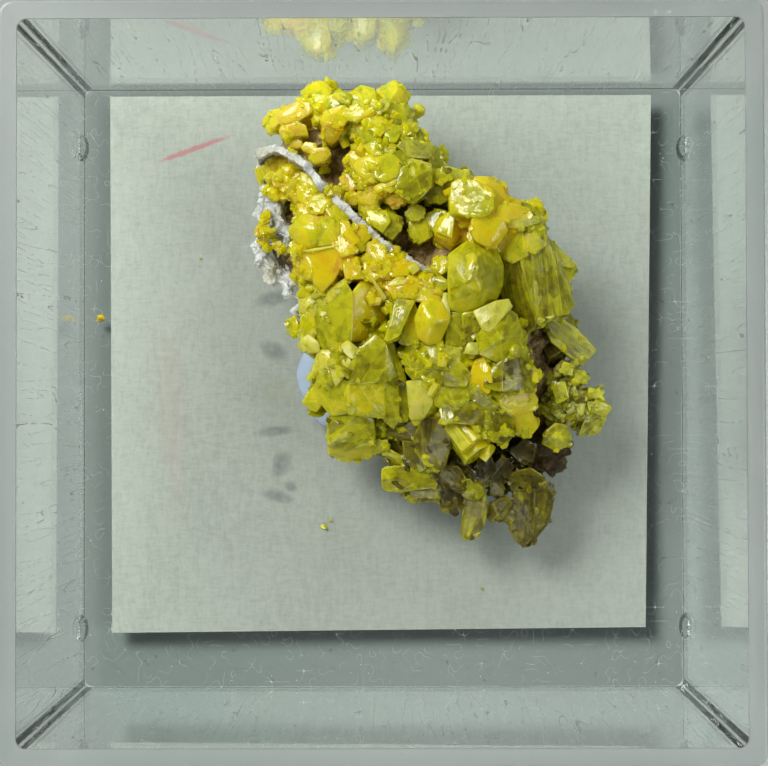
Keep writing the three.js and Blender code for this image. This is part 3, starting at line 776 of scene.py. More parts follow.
def sheaf(x, y, z, radius, length, heading, rise, twist=0, tint=0.6, siblings=0):
    """A prism and the thinner ones grown parallel to it."""
    stand = standing(x, y, z, heading, rise, twist)
    made = [stamped(prism(radius, length, dice.choice((0, 1, 2))), stand, tint, dice.uniform(0, 0.2))]
    for _ in range(siblings):
        thin = radius * dice.uniform(*SIBLING_RADII)
        angle = dice.uniform(0, math.tau)
        out = (radius - thin * dice.uniform(*SIBLING_SINK)) * MM
        drop = dice.uniform(*SIBLING_DROP) * radius * MM
        beside = Matrix.Translation((out * math.cos(angle), out * math.sin(angle), -drop))
        lean = Euler([math.radians(dice.gauss(0, SIBLING_LEAN)) for _ in range(3)]).to_matrix().to_4x4()
        made.append(stamped(prism(thin, length * dice.uniform(*SIBLING_LENGTHS)), stand @ beside @ lean,
                            tint + dice.gauss(0, 0.05), dice.uniform(0, 0.3)))
    return made


def broken(mesh, size, depth):
    """Breaks a skin up in flat facets about size across, each tilted its own way."""
    normals = [v.normal.copy() for v in mesh.vertices]
    for vert, normal in zip(mesh.vertices, normals):
        at = vert.co / (size * MM)
        middle = noise.voronoi(at)[1][0]
        vert.co += normal * noise.cell_vector(middle * 7).dot(at - middle) * depth * MM
    mesh.update()
    return mesh


CRUST_VOXEL = 0.14
REFUSED_VOXEL = 0.12
CRUST_LAYERS = [(0.7, 0.5), (1.8, 0.3)]
CRUST_FACETS = [(0.9, 0.5), (0.45, 0.35)]
LOWEST_FACING = -0.3
UPWARD_PULL = 0.3
GRAIN_SPLAY = 0.45
GRAIN_SIZES = (0.6, 1.5)
GRAIN_ROOT = 0.3


def crust(lumps, tint, count, size, frost=0.0):
    """The massive growth a group stands in, with small crystals rooted all over it."""
    skin = weathered(fused([lump(*l) for l in lumps], CRUST_VOXEL), CRUST_LAYERS)
    for facets in CRUST_FACETS:
        skin = broken(skin, *facets)
    skin = fused([skin], REFUSED_VOXEL)
    skin.calc_loop_triangles()
    triangles = [t for t in skin.loop_triangles if t.normal.z > LOWEST_FACING]
    spots = dice.choices(triangles, [t.area for t in triangles], k=count)
    small = []
    for spot in spots:
        a, b, c = (skin.vertices[i].co for i in spot.vertices)
        at = a.lerp(b, dice.random()).lerp(c, dice.random())
        out = spot.normal + UP * UPWARD_PULL + Vector([dice.gauss(0, GRAIN_SPLAY) for _ in range(3)])
        radius = size * dice.uniform(*GRAIN_SIZES)
        rooted = at - spot.normal * radius * GRAIN_ROOT * MM
        small.append(grain(rooted, out, radius, tint, dice.uniform(0, 0.3) + frost))
    return [stamped(skin, IN_PLACE, tint - 0.05)] + small


BED_SHARE = 0.52
BED_MARGIN = 0.08
BED_DROP = 0.12
BED_DEPTH = 0.4


def bedding(corners, depth):
    """The lump of massive growth that one crystal stands in."""
    points = np.array([seen(*c) for c in corners]) / MM
    low, high = points.min(axis=0), points.max(axis=0)
    across = (high[:2] - low[:2]) * BED_SHARE + BED_MARGIN
    top = points[:, 2].mean() - BED_DROP
    return (*(low[:2] + high[:2]) / 2, top - depth * BED_DEPTH, *across, depth * BED_DEPTH)


def cluster(name, slot, bodies=(), prisms=(), lumps=(), tint=0.7, count=0, size=0.3, frost=0.0,
            finish=resin):
    """One group that has grown together, joined in one solid. The lumps stand under its bodies, and
    count small crystals of about the given size, tint and frosting cover them."""
    parts = [mesh for b in bodies for mesh in faceted(*b)] + [mesh for p in prisms for mesh in sheaf(*p)]
    if lumps:
        beds = [bedding(corners, depth) for _, _, depth, corners in bodies]
        parts += crust(lumps + beds, tint, count, size, frost)
    whole = combined(parts) if len(parts) > 1 else parts[0]
    whole.shade_smooth()
    whole.set_sharp_from_angle(angle=SHARP_FROM)
    piece(name, whole, finish, slot, [name])


# ---- Large single crystals ----
# A smooth lime-green crystal, a darker green one with stepped sides, and a six-sided one that is seen
# end on. Each stands clear of the rest. A row is one crystal: its tint, kind, depth and corners.
cluster("waxy_crystal", "crystal_lime", [
    (0.56, "w", 3.5, [(3.95, 7.55, 11.2), (5.3, 8.6, 10.8), (6.6, 8.1, 10.7), (7, 6.9, 10.8),
     (6.95, 5.9, 10.7), (6.6, 5, 10.9), (5.9, 4.7, 11.2), (4.9, 4.2, 11.1), (4, 4.5, 11.2),
     (3.95, 6, 11.9), (5.35, 7.4, 12.4), (5.5, 6.4, 12.6), (4.9, 6, 12.6), (5.8, 5.5, 12.2)]),
    (0.52, "w", 1.0, [(4, 7.45, 11.75), (5.3, 8.45, 11.3), (5.4, 7.8, 12.1), (5.55, 6.9, 12.7),
     (5.45, 6.45, 12.75), (4.9, 6.1, 12.75), (4, 5.7, 12.1), (3.98, 6.5, 12.05)]),
])

cluster("green_crystal", "crystal_lime", [
    (0.50, "", 2.0, [(-1.9, 1, 10.3), (-1.4, 1.95, 10.6), (-0.4, 2.9, 10.7), (0.2, 2.3, 10.7),
     (0.75, 0.6, 10.2), (0.08, 0.25, 10.35), (-1.9, 0.1, 10.2)]),
    (0.57, "", 3.0, [(-1.9, 0.15, 10.15), (0.05, 0.3, 10.3), (0.1, -1.9, 9), (-0.6, -1.8, 9),
     (-1.9, -1.65, 9.1), (-2.2, -0.7, 9.5)]),
    (0.46, "", 3.0, [(0.02, 0.3, 10.3), (0.9, 0.5, 9.9), (0.95, -1.9, 8.7), (0.65, -2.5, 8.3),
     (0.1, -1.95, 8.9)]),
    (0.60, "", 2.6, [(-3.9, 0.9, 8.9), (-2.9, 0.45, 9.6), (-1.8, 0.1, 9.9), (-1.8, -0.6, 9.7),
     (-2, -1.55, 8.9), (-3, -1.7, 8.4), (-3.6, -0.9, 8.4), (-3.95, 0, 8.6)]),
    (0.44, "", 2.2, [(0.95, 0.4, 9.4), (1.35, 0.2, 9.3), (1.6, -0.8, 8.9), (1.5, -2, 8.4),
     (0.95, -2.1, 8.4)]),
])

cluster("hexagon_crystal", "crystal_olive", [
    (0.46, "", 3.2, [(0.85, 11.95, 10.7), (1.1, 12.55, 10.7), (1.75, 12.95, 10.7), (2.5, 12.7, 10.6),
     (2.85, 12.3, 10.6), (2.75, 11.6, 10.7), (2.3, 11.1, 10.8), (1.8, 10.75, 10.8), (1.2, 11.1, 10.8),
     (0.9, 11.5, 10.8)]),
    (0.55, "f", 2.4, [(1.5, 13.05, 10.3), (1.75, 13.25, 10.2), (2.8, 12.95, 10.1), (2.75, 12.65, 10.4),
     (1.8, 12.9, 10.5)]),
])


# ---- Striated bundle and blade ----
# A thick sheaf of parallel crystals, with one flat blade below it. Thin prisms side by side, each a
# little longer or shorter than the next, make its striated side.
RIB_TOPS = (Vector((7.2, 7.7, 10.2)), Vector((10.1, 8.0, 10.6)))
RIB_FEET = (Vector((8.3, 3.6, 8.9)), Vector((10.9, 4.6, 9.1)))
RIB_CROWN = 0.25
RIB_THICKNESS = (0.04, 0.13)
RIB_STARTS, RIB_STOPS = (0, 0.35), (0.75, 1.02)
RIB_RAISED = (0.0, 0.12)
RIB_TINT, RIB_BRIGHTER = 0.36, 0.24
RIBS = 26
ribs = []
for rib in range(RIBS):
    across = (rib + dice.uniform(-0.3, 0.3)) / (RIBS - 1)
    crown = UP * RIB_CROWN * math.sin(across * math.pi)
    top = RIB_TOPS[0].lerp(RIB_TOPS[1], across) + crown
    foot = RIB_FEET[0].lerp(RIB_FEET[1], across) + crown
    side = (RIB_TOPS[1] - RIB_TOPS[0]).normalized() * dice.uniform(*RIB_THICKNESS)
    start, stop = dice.uniform(*RIB_STARTS), dice.uniform(*RIB_STOPS)
    raised = UP * dice.uniform(*RIB_RAISED)
    ends = (top.lerp(foot, start) + raised, top.lerp(foot, stop) + raised)
    brighter = 4 * across * (1 - across) * dice.uniform(0.4, 1)
    ribs.append((RIB_TINT + RIB_BRIGHTER * brighter, "l", 0.9,
                 [tuple(end + shift) for end in ends for shift in (side, -side)]))
cluster("striated_bundle", "crystal_olive", [
    (0.37, "l", 3.0, [(6.9, 7.7, 10), (7.9, 8, 10.8), (8.95, 3.6, 9.3), (8.2, 3.1, 8.7), (7.75, 4, 8.8),
     (7, 5.3, 9.2)]),
    (0.45, "l", 3.0, [(7.9, 8, 10.9), (9.6, 8.7, 10.9), (10.05, 7.3, 10.5), (10.5, 4.2, 9.3),
     (9.15, 3.5, 9.3), (8.9, 4, 9.5)]),
    (0.43, "l", 3.0, [(9.6, 8.7, 10.7), (10.1, 8.1, 10.3), (10.85, 5.9, 9.5), (11.1, 4.8, 8.9),
     (10.9, 4.25, 8.9), (10.5, 4.2, 9.2), (10, 7.2, 10.5)]),
    (0.65, "f", 1.6, [(9.15, 3.45, 9), (9.2, 3.8, 9.4), (10.4, 4.3, 9.3), (10.4, 4.05, 9)]),
    (0.49, "f", 2.2, [(8, 3.9, 8.6), (8.9, 4, 8.8), (9.1, 3.4, 8.4), (8.4, 3.05, 8.2), (8, 3.3, 8.3)]),
    (0.59, "", 2.6, [(7, 8.9, 10.8), (8.3, 9, 11.2), (8.4, 7.6, 10.9), (7.6, 7.2, 10.6),
     (6.9, 7.6, 10.3)]),
    (0.61, "", 2.6, [(8.2, 9.2, 11.2), (9.3, 9.3, 10.8), (9.6, 8.3, 10.8), (8.9, 7.7, 10.9),
     (8.3, 8, 11)]),
] + ribs, finish=striated)

cluster("blade_crystal", "crystal_olive", [
    (0.48, "", 1.1, [(9.5, 3.4, 8.1), (10.15, 4, 8.1), (11.2, 3.25, 7.7), (12.42, 2.05, 7.1),
     (11.55, 1.15, 7.1), (10, 2.5, 7.8)]),
], prisms=[(10.4, 1.5, 6.9, 0.8, 2.6, 300, 30, 0, 0.10, 0)], finish=striated)


# ---- Caps, left ridge and middle ----
# Yellow crystals with hollowed ends cap the bundle. Lime ones make the ridge at the lower left, with a
# pale strip of small ones at the edge, and the big translucent mass fills the middle.
cluster("cap_crystals", "crystal_yellow", [
    (0.62, "s", 3.0, [(4.15, 11.75, 11.6), (4.5, 11.95, 11.65), (5.4, 11.85, 11.9), (6.4, 11.4, 12.2),
     (6.45, 10.4, 12.4), (6.1, 9.95, 12.4), (5.4, 9.9, 12.3), (4.1, 10.15, 12), (4.05, 10.9, 11.8)]),
    (0.80, "", 3.0, [(5.4, 12.1, 11.2), (6.2, 12.1, 11.3), (6.9, 11.6, 11.3), (7.35, 11.05, 11.1),
     (7.45, 10.5, 11.1), (7.3, 9.7, 11.2), (6.5, 9.8, 12), (6.3, 11.5, 12)]),
    (0.80, "", 3.0, [(5.3, 9.6, 12), (5.9, 10, 12.1), (7, 9.6, 11.9), (7.25, 9, 11.7), (6.8, 8.6, 11.6),
     (6.55, 8.05, 11.6), (6.1, 8.2, 11.9), (5.6, 8.45, 12), (5.3, 8.95, 12)]),
    (0.60, "!", 1.6, [(3.85, 10.15, 10.45), (4.3, 9.9, 10.65), (4.1, 8.55, 10.95), (3.1, 8.95, 10.6)]),
    (0.86, "", 2.4, [(3.15, 8.9, 10.2), (4.1, 8.5, 10.4), (4.35, 9.6, 10.4), (4.75, 9.75, 10),
     (4.6, 8.9, 9.8), (4.35, 8.3, 9.6), (4, 8, 9.5), (3.3, 8.45, 9.6)]),
    (0.90, "", 1.6, [(4.6, 9.6, 10.2), (4.95, 9.7, 10.3), (5, 8.5, 10), (4.7, 8.4, 9.8)]),
    (0.76, "", 2.6, [(6.9, 10.45, 11.7), (7.6, 10.5, 11.6), (8.6, 10.3, 11), (8.3, 9.85, 11.3),
     (7.2, 9.6, 11.9), (6.7, 10, 11.9)]),
    (0.50, "", 3.0, [(7.4, 10.95, 10.6), (8.4, 10.6, 10.4), (9.35, 10.1, 10), (9.5, 9.3, 9.9),
     (9.55, 8.8, 9.9), (8.6, 9, 11.2), (7.4, 9.7, 11.3)]),
    (0.60, "f", 2.0, [(7.3, 9.25, 11.5), (7.4, 9.6, 11.6), (8.4, 9.85, 11.3), (9.3, 9.75, 10.8),
     (9.1, 9.45, 11), (8.1, 9.2, 11.4)]),
    (0.84, "", 2.4, [(6.9, 8.9, 11), (7.5, 9.1, 11.2), (8.2, 8.9, 11.1), (8.3, 7.9, 10.6),
     (7.5, 7.55, 10.3), (6.8, 7.8, 10.5)]),
    (0.56, "", 2.4, [(8.2, 9, 11.2), (9.2, 9.2, 10.7), (9.3, 8.3, 10.4), (8.6, 7.9, 10.5),
     (8.25, 8.1, 10.8)]),
], lumps=[(5.6, 10.4, 10.4, 1.5, 1.3, 1.3), (7.6, 9.2, 9.8, 1.4, 1.1, 1.2)],
    tint=0.75, count=130, size=0.26)

cluster("lower_left_crystals", "crystal_lime", [
    (0.53, "w", 3.0, [(-3.95, 3.4, 8.8), (-3.6, 2.3, 8.6), (-3.1, 1.9, 8.7), (-2.5, 2.4, 9.6),
     (-1.8, 2.65, 10), (-1.75, 5.3, 10.9), (-2.2, 6, 10.5), (-3.2, 5.2, 9.7), (-3.9, 4.2, 9.1)]),
    (0.74, "w", 3.0, [(-1.8, 2.65, 9.9), (-1.75, 5.3, 10.8), (-1.2, 6.05, 10.4), (-0.55, 5.9, 10.2),
     (-0.05, 5.1, 9.7), (0.3, 4.2, 9.2), (-0.4, 3.1, 9), (-1.1, 2.7, 9.1)]),
    (0.60, "f", 1.8, [(-4, 5, 9.2), (-3.2, 5.55, 9.7), (-2.3, 6.15, 10.3), (-1.8, 6.2, 10.3),
     (-2.3, 5.85, 10.5), (-3, 4.95, 9.9), (-3.6, 4.5, 9.3)]),
    (0.50, "", 3.0, [(-3.15, -1.9, 8.2), (-1.6, -1.8, 8.6), (-0.6, -2, 8.3), (-0.5, -3.25, 7.7),
     (-2.1, -3.75, 7.5), (-3.1, -3.5, 7.6)]),
    (0.66, "", 1.5, [(-3.1, -3.45, 7.3), (-2.1, -3.7, 7.3), (-0.55, -3.25, 7.4), (-0.7, -4.1, 6.5),
     (-2, -4.45, 6.2), (-3.1, -4, 6.4)]),
    (0.66, "", 1.4, [(-4, -0.1, 7.8), (-4.6, -0.9, 7.3), (-4.2, -1.35, 7.2), (-3.85, -1.45, 7.4),
     (-3.5, -0.9, 7.9), (-3.6, 0.3, 8.1)]),
    (0.60, "F", 1.6, [(-2.45, 2.2, 10.1), (-2, 2.55, 10.1), (-1.3, 2, 10.4), (-1.75, 1.6, 10.5),
     (-1.95, 1.75, 10.4)]),
    (0.60, "F", 1.4, [(-2, 1.55, 10.3), (-1.65, 1.15, 10.4), (-1.9, 0.65, 10.2), (-2.1, 1.1, 10.2)]),
    (0.56, "F", 1.8, [(-3.05, 1.3, 9.5), (-2.7, 1.75, 9.6), (-2.35, 1.7, 9.8), (-2.2, 1, 10.1),
     (-2.1, 0.8, 10.1), (-2.7, 0.05, 9.8), (-2.9, 0.6, 9.6)]),
    (0.60, "f", 2.0, [(-4, 1, 8.6), (-3.7, 2, 8.8), (-3.1, 1.95, 9.1), (-2.9, 1.2, 9.3),
     (-2.95, 0.45, 9.3), (-3.6, 0.6, 8.9)]),
    (0.58, "", 2.4, [(0.1, 2.6, 9.9), (0.7, 2.3, 9.8), (1.3, 0.6, 9.5), (1.35, 0.2, 9.4),
     (0.9, 0.5, 9.8)]),
], lumps=[(-2.2, 1.6, 8.0, 1.5, 3.4, 1.5), (-0.6, 2.4, 8.2, 1.3, 2.6, 1.3),
          (0.1, -2.4, 7.0, 0.9, 0.9, 0.9)], tint=0.5, count=110, size=0.24)

cluster("edge_crystals", "crystal_yellow", [
    (0.60, "F", 1.6, [(-4.65, 2.6, 8.6), (-4.3, 2.95, 8.7), (-3.8, 2.5, 8.9), (-3.7, 2, 8.9),
     (-4.3, 2, 8.6)]),
    (0.62, "", 1.6, [(-4.7, 3.9, 8.7), (-4, 4.1, 9.1), (-3.9, 3.3, 8.9), (-4.1, 3, 8.8),
     (-4.6, 3.1, 8.6)]),
    (0.56, "", 1.2, [(-5.45, 3.7, 7.2), (-5.1, 4, 7.4), (-4.95, 3.5, 7.5), (-5, 2.9, 7.3),
     (-5.35, 3, 7.1)]),
    (0.60, "f", 1.6, [(-4.8, 5, 8.6), (-4, 5.1, 9.2), (-3.6, 4.5, 9.2), (-4, 4.1, 9.1),
     (-4.7, 4.3, 8.7)]),
    (0.60, "!", 1.2, [(-4.55, 5.65, 9.2), (-4.4, 5.9, 9.1), (-3.95, 5.95, 9.2), (-3.95, 5.55, 9.35),
     (-4.3, 5.45, 9.3)]),
    (0.60, "!", 1.2, [(-4.1, 5.15, 9.2), (-3.75, 5.4, 9.25), (-3.6, 5.15, 9.35), (-3.9, 4.95, 9.3)]),
    (0.70, "", 1.6, [(-4.9, 5.2, 8.6), (-4.6, 5.9, 8.8), (-4.2, 6.3, 9), (-3.7, 5.9, 9), (-3.9, 5.2, 9)]),
], lumps=[(-4.2, 3.7, 7.6, 0.7, 2.2, 1.2)], tint=0.6, count=170, size=0.2, frost=0.3)

cluster("heart_crystals", "crystal_yellow", [
    (0.54, "!", 2.6, [(0.8, 5.1, 11), (1.95, 4.95, 11.35), (1, 2.85, 11.65), (0.3, 2.5, 11.55),
     (0.1, 2.65, 11.45), (0.6, 4.1, 11.2)]),
    (0.67, "w", 3.2, [(2.3, 4.7, 11.5), (2.9, 5, 11.4), (3.4, 4.8, 11.5), (3.9, 3.9, 11.5),
     (3.35, 2.6, 11.2), (2.65, 2.45, 11.2), (2.1, 2.9, 11.2), (2, 3.9, 11.4), (2.9, 3.7, 12)]),
    (0.74, "", 2.6, [(1.95, 5, 11), (2.2, 6.2, 10.7), (2.9, 6, 10.8), (3.4, 5, 11), (2.6, 4.9, 11.1)]),
    (0.58, "", 2.4, [(1.2, 3, 10.7), (1.9, 4.7, 10.9), (2.1, 4, 11), (2.1, 2.6, 10.7), (1.4, 2.4, 10.5)]),
    (0.52, "F", 2.2, [(3.6, 5.3, 11.2), (3.85, 5.25, 11.2), (3.95, 4, 11.5), (3.65, 3.8, 11.4),
     (3.5, 4.6, 11.3)]),
    (0.44, "", 2.4, [(4, 4.4, 10.9), (4.9, 4.3, 11.1), (4.9, 2.6, 11), (4.5, 2.2, 10.9), (3.7, 2.4, 10.9),
     (3.9, 3.8, 11.2)]),
    (0.42, "", 2.4, [(4.7, 4.1, 11.4), (5.3, 4.2, 11.4), (5.7, 3.8, 11.4), (5.5, 3, 11.3),
     (5.2, 2.5, 11.2), (4.8, 2.7, 11.2)]),
    (0.46, "F", 1.8, [(4.85, 1.9, 11.3), (5.5, 1.85, 11.4), (5.55, 2.4, 11.3), (5.05, 2.4, 11.3)]),
    (0.48, "F", 2.6, [(5.4, 4.3, 11.6), (6.6, 4.8, 11.6), (7.3, 4.95, 11.4), (7.5, 4.5, 11.4),
     (7, 4.1, 11.7), (6.3, 3.2, 11.9), (5.9, 3.3, 11.8), (5.7, 3.9, 11.7)]),
    (0.52, "w", 3.0, [(6.3, 4, 11.7), (7.4, 4.3, 11.4), (7.8, 4, 11.1), (8.1, 2.9, 10.8),
     (8.15, 2.2, 10.6), (7, 1.3, 10.9), (5.7, 1.9, 11.2), (5.6, 2.8, 11.4), (6.1, 3.2, 11.7),
     (6.9, 2.8, 11.7)]),
    (0.56, "w", 1.4, [(7.5, 2.1, 11.2), (7.7, 2.3, 11.2), (8.05, 2.2, 11.1), (8.1, 1.9, 11),
     (7.85, 1.7, 11.1), (7.55, 1.8, 11.2), (7.8, 2, 11.4)]),
    (0.52, "", 1.6, [(8.1, 2.2, 10.3), (8.4, 2.2, 10.2), (8.5, 1.9, 10), (8.4, 1.4, 10), (8, 1.5, 10.3)]),
    (0.40, "", 3.0, [(6, 0.6, 10.9), (7, 1.4, 11.1), (7.9, 1.6, 10.6), (8.4, 1.3, 10.2), (8.9, 0.2, 9.8),
     (8.7, -0.4, 10), (7, -0.3, 11), (6, -0.1, 11)]),
    (0.78, "", 2.6, [(5.1, 0.3, 10.8), (5.4, 1.3, 10.9), (5.9, 1.6, 10.9), (6.3, 0.5, 11.1),
     (6.2, -0.4, 10.9), (5.4, -0.4, 10.7)]),
    (0.44, "", 2.6, [(1.4, 0.9, 10.1), (2.9, 2.2, 10.8), (3.6, 2.1, 11), (2.9, 1, 10.9),
     (1.9, 0.3, 10.1)]),
    (0.50, "f", 2.4, [(2.6, 2.2, 10.9), (3.2, 2.4, 10.9), (4.5, 2.1, 11), (4.4, 1.3, 11.1),
     (3.4, 1, 11.1), (3, 1.5, 11.2)]),
    (0.42, "", 2.6, [(1.9, 0.4, 10.1), (2.9, 1.05, 10.9), (3.6, 1, 11.1), (3.7, 0.1, 10.6),
     (2.6, -0.5, 9.9)]),
    (0.46, "", 2.6, [(3.5, 1.1, 11.2), (4.5, 1.4, 11), (5.1, 0.6, 10.9), (4.8, 0, 11), (3.7, 0, 10.8)]),
    (0.48, "", 2.6, [(2.7, -0.4, 10), (3.7, 0.2, 10.7), (4.8, 0.1, 10.8), (5.3, -0.6, 10.6),
     (4.3, -1.4, 10.2), (3.2, -1.2, 9.8)]),
    (0.46, "", 2.6, [(4.9, 0.1, 10.8), (5.6, -0.2, 11), (6.7, -1.1, 10.7), (6.5, -1.4, 10.4),
     (5.8, -1.3, 10.4), (5.1, -0.7, 10.6)]),
    (0.43, "s", 2.0, [(3.4, -1.4, 10), (3.7, -1.2, 10.1), (4.2, -1.3, 10.1), (4.3, -2.1, 9.8),
     (3.5, -2.2, 9.6)]),
    (0.37, "", 2.4, [(4.2, -1.5, 10.1), (5.2, -1, 10.4), (5.9, -1.4, 10.3), (6, -2.3, 9.8),
     (5.2, -2.2, 10), (4.3, -2.2, 9.9)]),
    (0.41, "", 2.6, [(5.6, -1.8, 10), (6.4, -1.3, 10.4), (7.6, -1.9, 9.9), (7.5, -3, 9.2), (6.9, -3.4, 9),
     (6.2, -2.6, 9.7)]),
    (0.66, "", 2.8, [(6.9, -0.3, 10.4), (8.7, -0.4, 9.7), (9, -0.9, 9.4), (8.6, -1.6, 9.3),
     (7.6, -1.7, 9.9), (6.8, -1.1, 10.4)]),
    (0.67, "", 2.6, [(7.6, -1.7, 9.8), (8.6, -1.5, 9.3), (9, -2.4, 8.8), (8.6, -2.9, 8.6),
     (7.9, -2.7, 8.9), (7.6, -2, 9.4)]),
    (0.23, "", 3.0, [(2.4, -2, 9), (3.5, -1.9, 9.5), (3.9, -3.4, 8.8), (3.6, -4.8, 7.9), (2.4, -4.6, 7.6),
     (1.9, -3, 8.2)]),
    (0.27, "", 2.4, [(0.9, -2.2, 8), (2.2, -2.1, 8.4), (2.2, -3.2, 7.9), (1.2, -3.2, 7.5),
     (0.2, -2.7, 7.5)]),
], prisms=[(5.5, -4.1, 8.7, 1.15, 3.8, -52, 14, 12, 0.62, 5)],
    lumps=[(3.4, 2.4, 9.5, 2.5, 3.1, 1.5), (6.0, 1.0, 9.4, 2.0, 2.6, 1.4), (6.2, -1.0, 8.8, 2.1, 2.2, 1.4),
           (1.3, -2.5, 7.1, 1.2, 0.8, 0.9)], tint=0.6, count=300, size=0.25)

cluster("bowl_crystal", "crystal_olive", [
    (0.60, "F", 2.4, [(1.45, 0.15, 9.9), (2.3, 0.2, 10.2), (2.75, -0.4, 10.1), (2.85, -1, 9.9),
     (2.4, -1.85, 9.3), (1.65, -1.95, 9), (1.95, -0.9, 9.8)]),
    (0.58, "", 2.2, [(1.6, -1.7, 9), (2.4, -1.7, 9.2), (3, -1, 9.7), (3.1, -1.5, 9.2), (2.5, -2.25, 8.7),
     (1.9, -2.3, 8.6)]),
])


# ---- Upper end ----
# Olive and yellow crystals run up over the shoulder and the right flank to the crown, where they turn
# amber round the upper hollow.
cluster("shoulder_crystals", "crystal_yellow", [
    (0.74, "m", 2.0, [(-2, 13.4, 8.8), (-1.6, 13.85, 8.9), (-1.1, 13.6, 9.1), (-1.1, 12.9, 9.2),
     (-1.7, 12.7, 8.8)]),
    (0.92, "m", 1.6, [(-2.45, 12.1, 8), (-1.95, 12.35, 8.2), (-1.55, 11.9, 8.4), (-1.75, 11.3, 8.4),
     (-2.2, 11.6, 8.2)]),
    (0.70, "m", 2.2, [(-1.4, 12.3, 9.4), (-0.8, 12.4, 9.8), (-0.4, 11.9, 10), (-0.6, 11.5, 9.8),
     (-1.3, 11.6, 9.3)]),
    (0.70, "w", 2.8, [(-1.6, 12.7, 10.2), (-1.4, 13.2, 10.2), (-0.7, 13.4, 10.4), (-0.2, 13, 10.7),
     (-0.4, 12.3, 10.7), (-1, 12.1, 10.4)]),
    (0.62, "w", 3.0, [(-0.4, 13.2, 10.6), (0.5, 13.6, 10.5), (1.15, 13, 10.6), (0.95, 12.3, 10.9),
     (0.2, 11.95, 11), (-0.45, 12.2, 10.9)]),
    (0.50, "", 2.6, [(0.5, 13.6, 10.4), (1.3, 13.7, 10.2), (1.7, 13.2, 10.2), (1.1, 12.8, 10.6)]),
    (0.70, "!", 1.2, [(-0.55, 11.6, 10.55), (-0.3, 11.2, 10.7), (0.9, 11.8, 10.9), (0.85, 12.1, 10.8),
     (0.1, 11.95, 10.65)]),
    (0.80, "", 1.6, [(-0.3, 11.15, 10.4), (0.9, 11.75, 10.6), (0.95, 11.5, 10.2), (-0.3, 10.9, 10)]),
    (0.86, "m", 1.4, [(0.5, 11, 10.2), (0.9, 11.2, 10.3), (1.25, 10.95, 10.3), (0.95, 10.5, 10.1),
     (0.6, 10.65, 10.1)]),
    (0.74, "m", 2.2, [(-1.4, 11.1, 9.6), (-1, 11.65, 9.7), (-0.5, 11.5, 9.9), (-0.3, 11, 9.9),
     (-0.7, 10.6, 9.8), (-1.2, 10.7, 9.6)]),
    (0.70, "m", 2.0, [(-1.2, 10.5, 9.5), (-0.7, 10.8, 9.7), (-0.3, 10.5, 9.7), (-0.5, 10.1, 9.6),
     (-1, 10.1, 9.5)]),
    (0.72, "m", 1.6, [(-2, 11, 8.8), (-1.6, 11.2, 9), (-1.3, 10.9, 9), (-1.6, 10.6, 8.9),
     (-1.9, 10.7, 8.8)]),
    (0.60, "", 2.4, [(-1, 14, 10), (-0.3, 14.3, 10.2), (0.6, 14, 10.3), (0.5, 13.5, 10.3),
     (-0.5, 13.4, 10.2)]),
], lumps=[(0.0, 12.3, 9.4, 1.7, 1.5, 1.2), (-0.6, 10.9, 8.8, 1.0, 0.8, 1.0)],
    tint=0.66, count=130, size=0.26)

cluster("flank_crystals", "crystal_olive", [
    (0.48, "", 2.4, [(2.9, 13.9, 9.4), (3.2, 13.9, 9.2), (3.45, 13.4, 9), (3.65, 12.85, 8.8),
     (3, 12.6, 9.4), (2.8, 13.1, 9.7)]),
    (0.50, "", 2.2, [(2.6, 12.6, 10.2), (2.8, 12.7, 10.1), (3.05, 12.3, 10), (2.9, 11.6, 10.2),
     (2.7, 11.7, 10.3)]),
    (0.54, "f", 1.4, [(3, 12.55, 9.4), (3.9, 12.72, 9), (4.9, 12.45, 8.7), (5.3, 12.12, 8.6),
     (4.6, 12, 8.9), (3.2, 12.3, 9.5)]),
    (0.40, "", 2.6, [(2.9, 12.2, 9.9), (4.05, 12.1, 9.6), (4.1, 11, 9.8), (3.4, 10.7, 9.9),
     (2.5, 11, 10.1)]),
    (0.56, "", 2.0, [(3.1, 12.3, 10), (3.5, 12.4, 9.9), (3.9, 12.1, 9.9), (3.5, 11.8, 10.1),
     (3.15, 11.9, 10.1)]),
], lumps=[(3.3, 11.9, 8.8, 1.0, 0.9, 1.1)], tint=0.44, count=50, size=0.24)

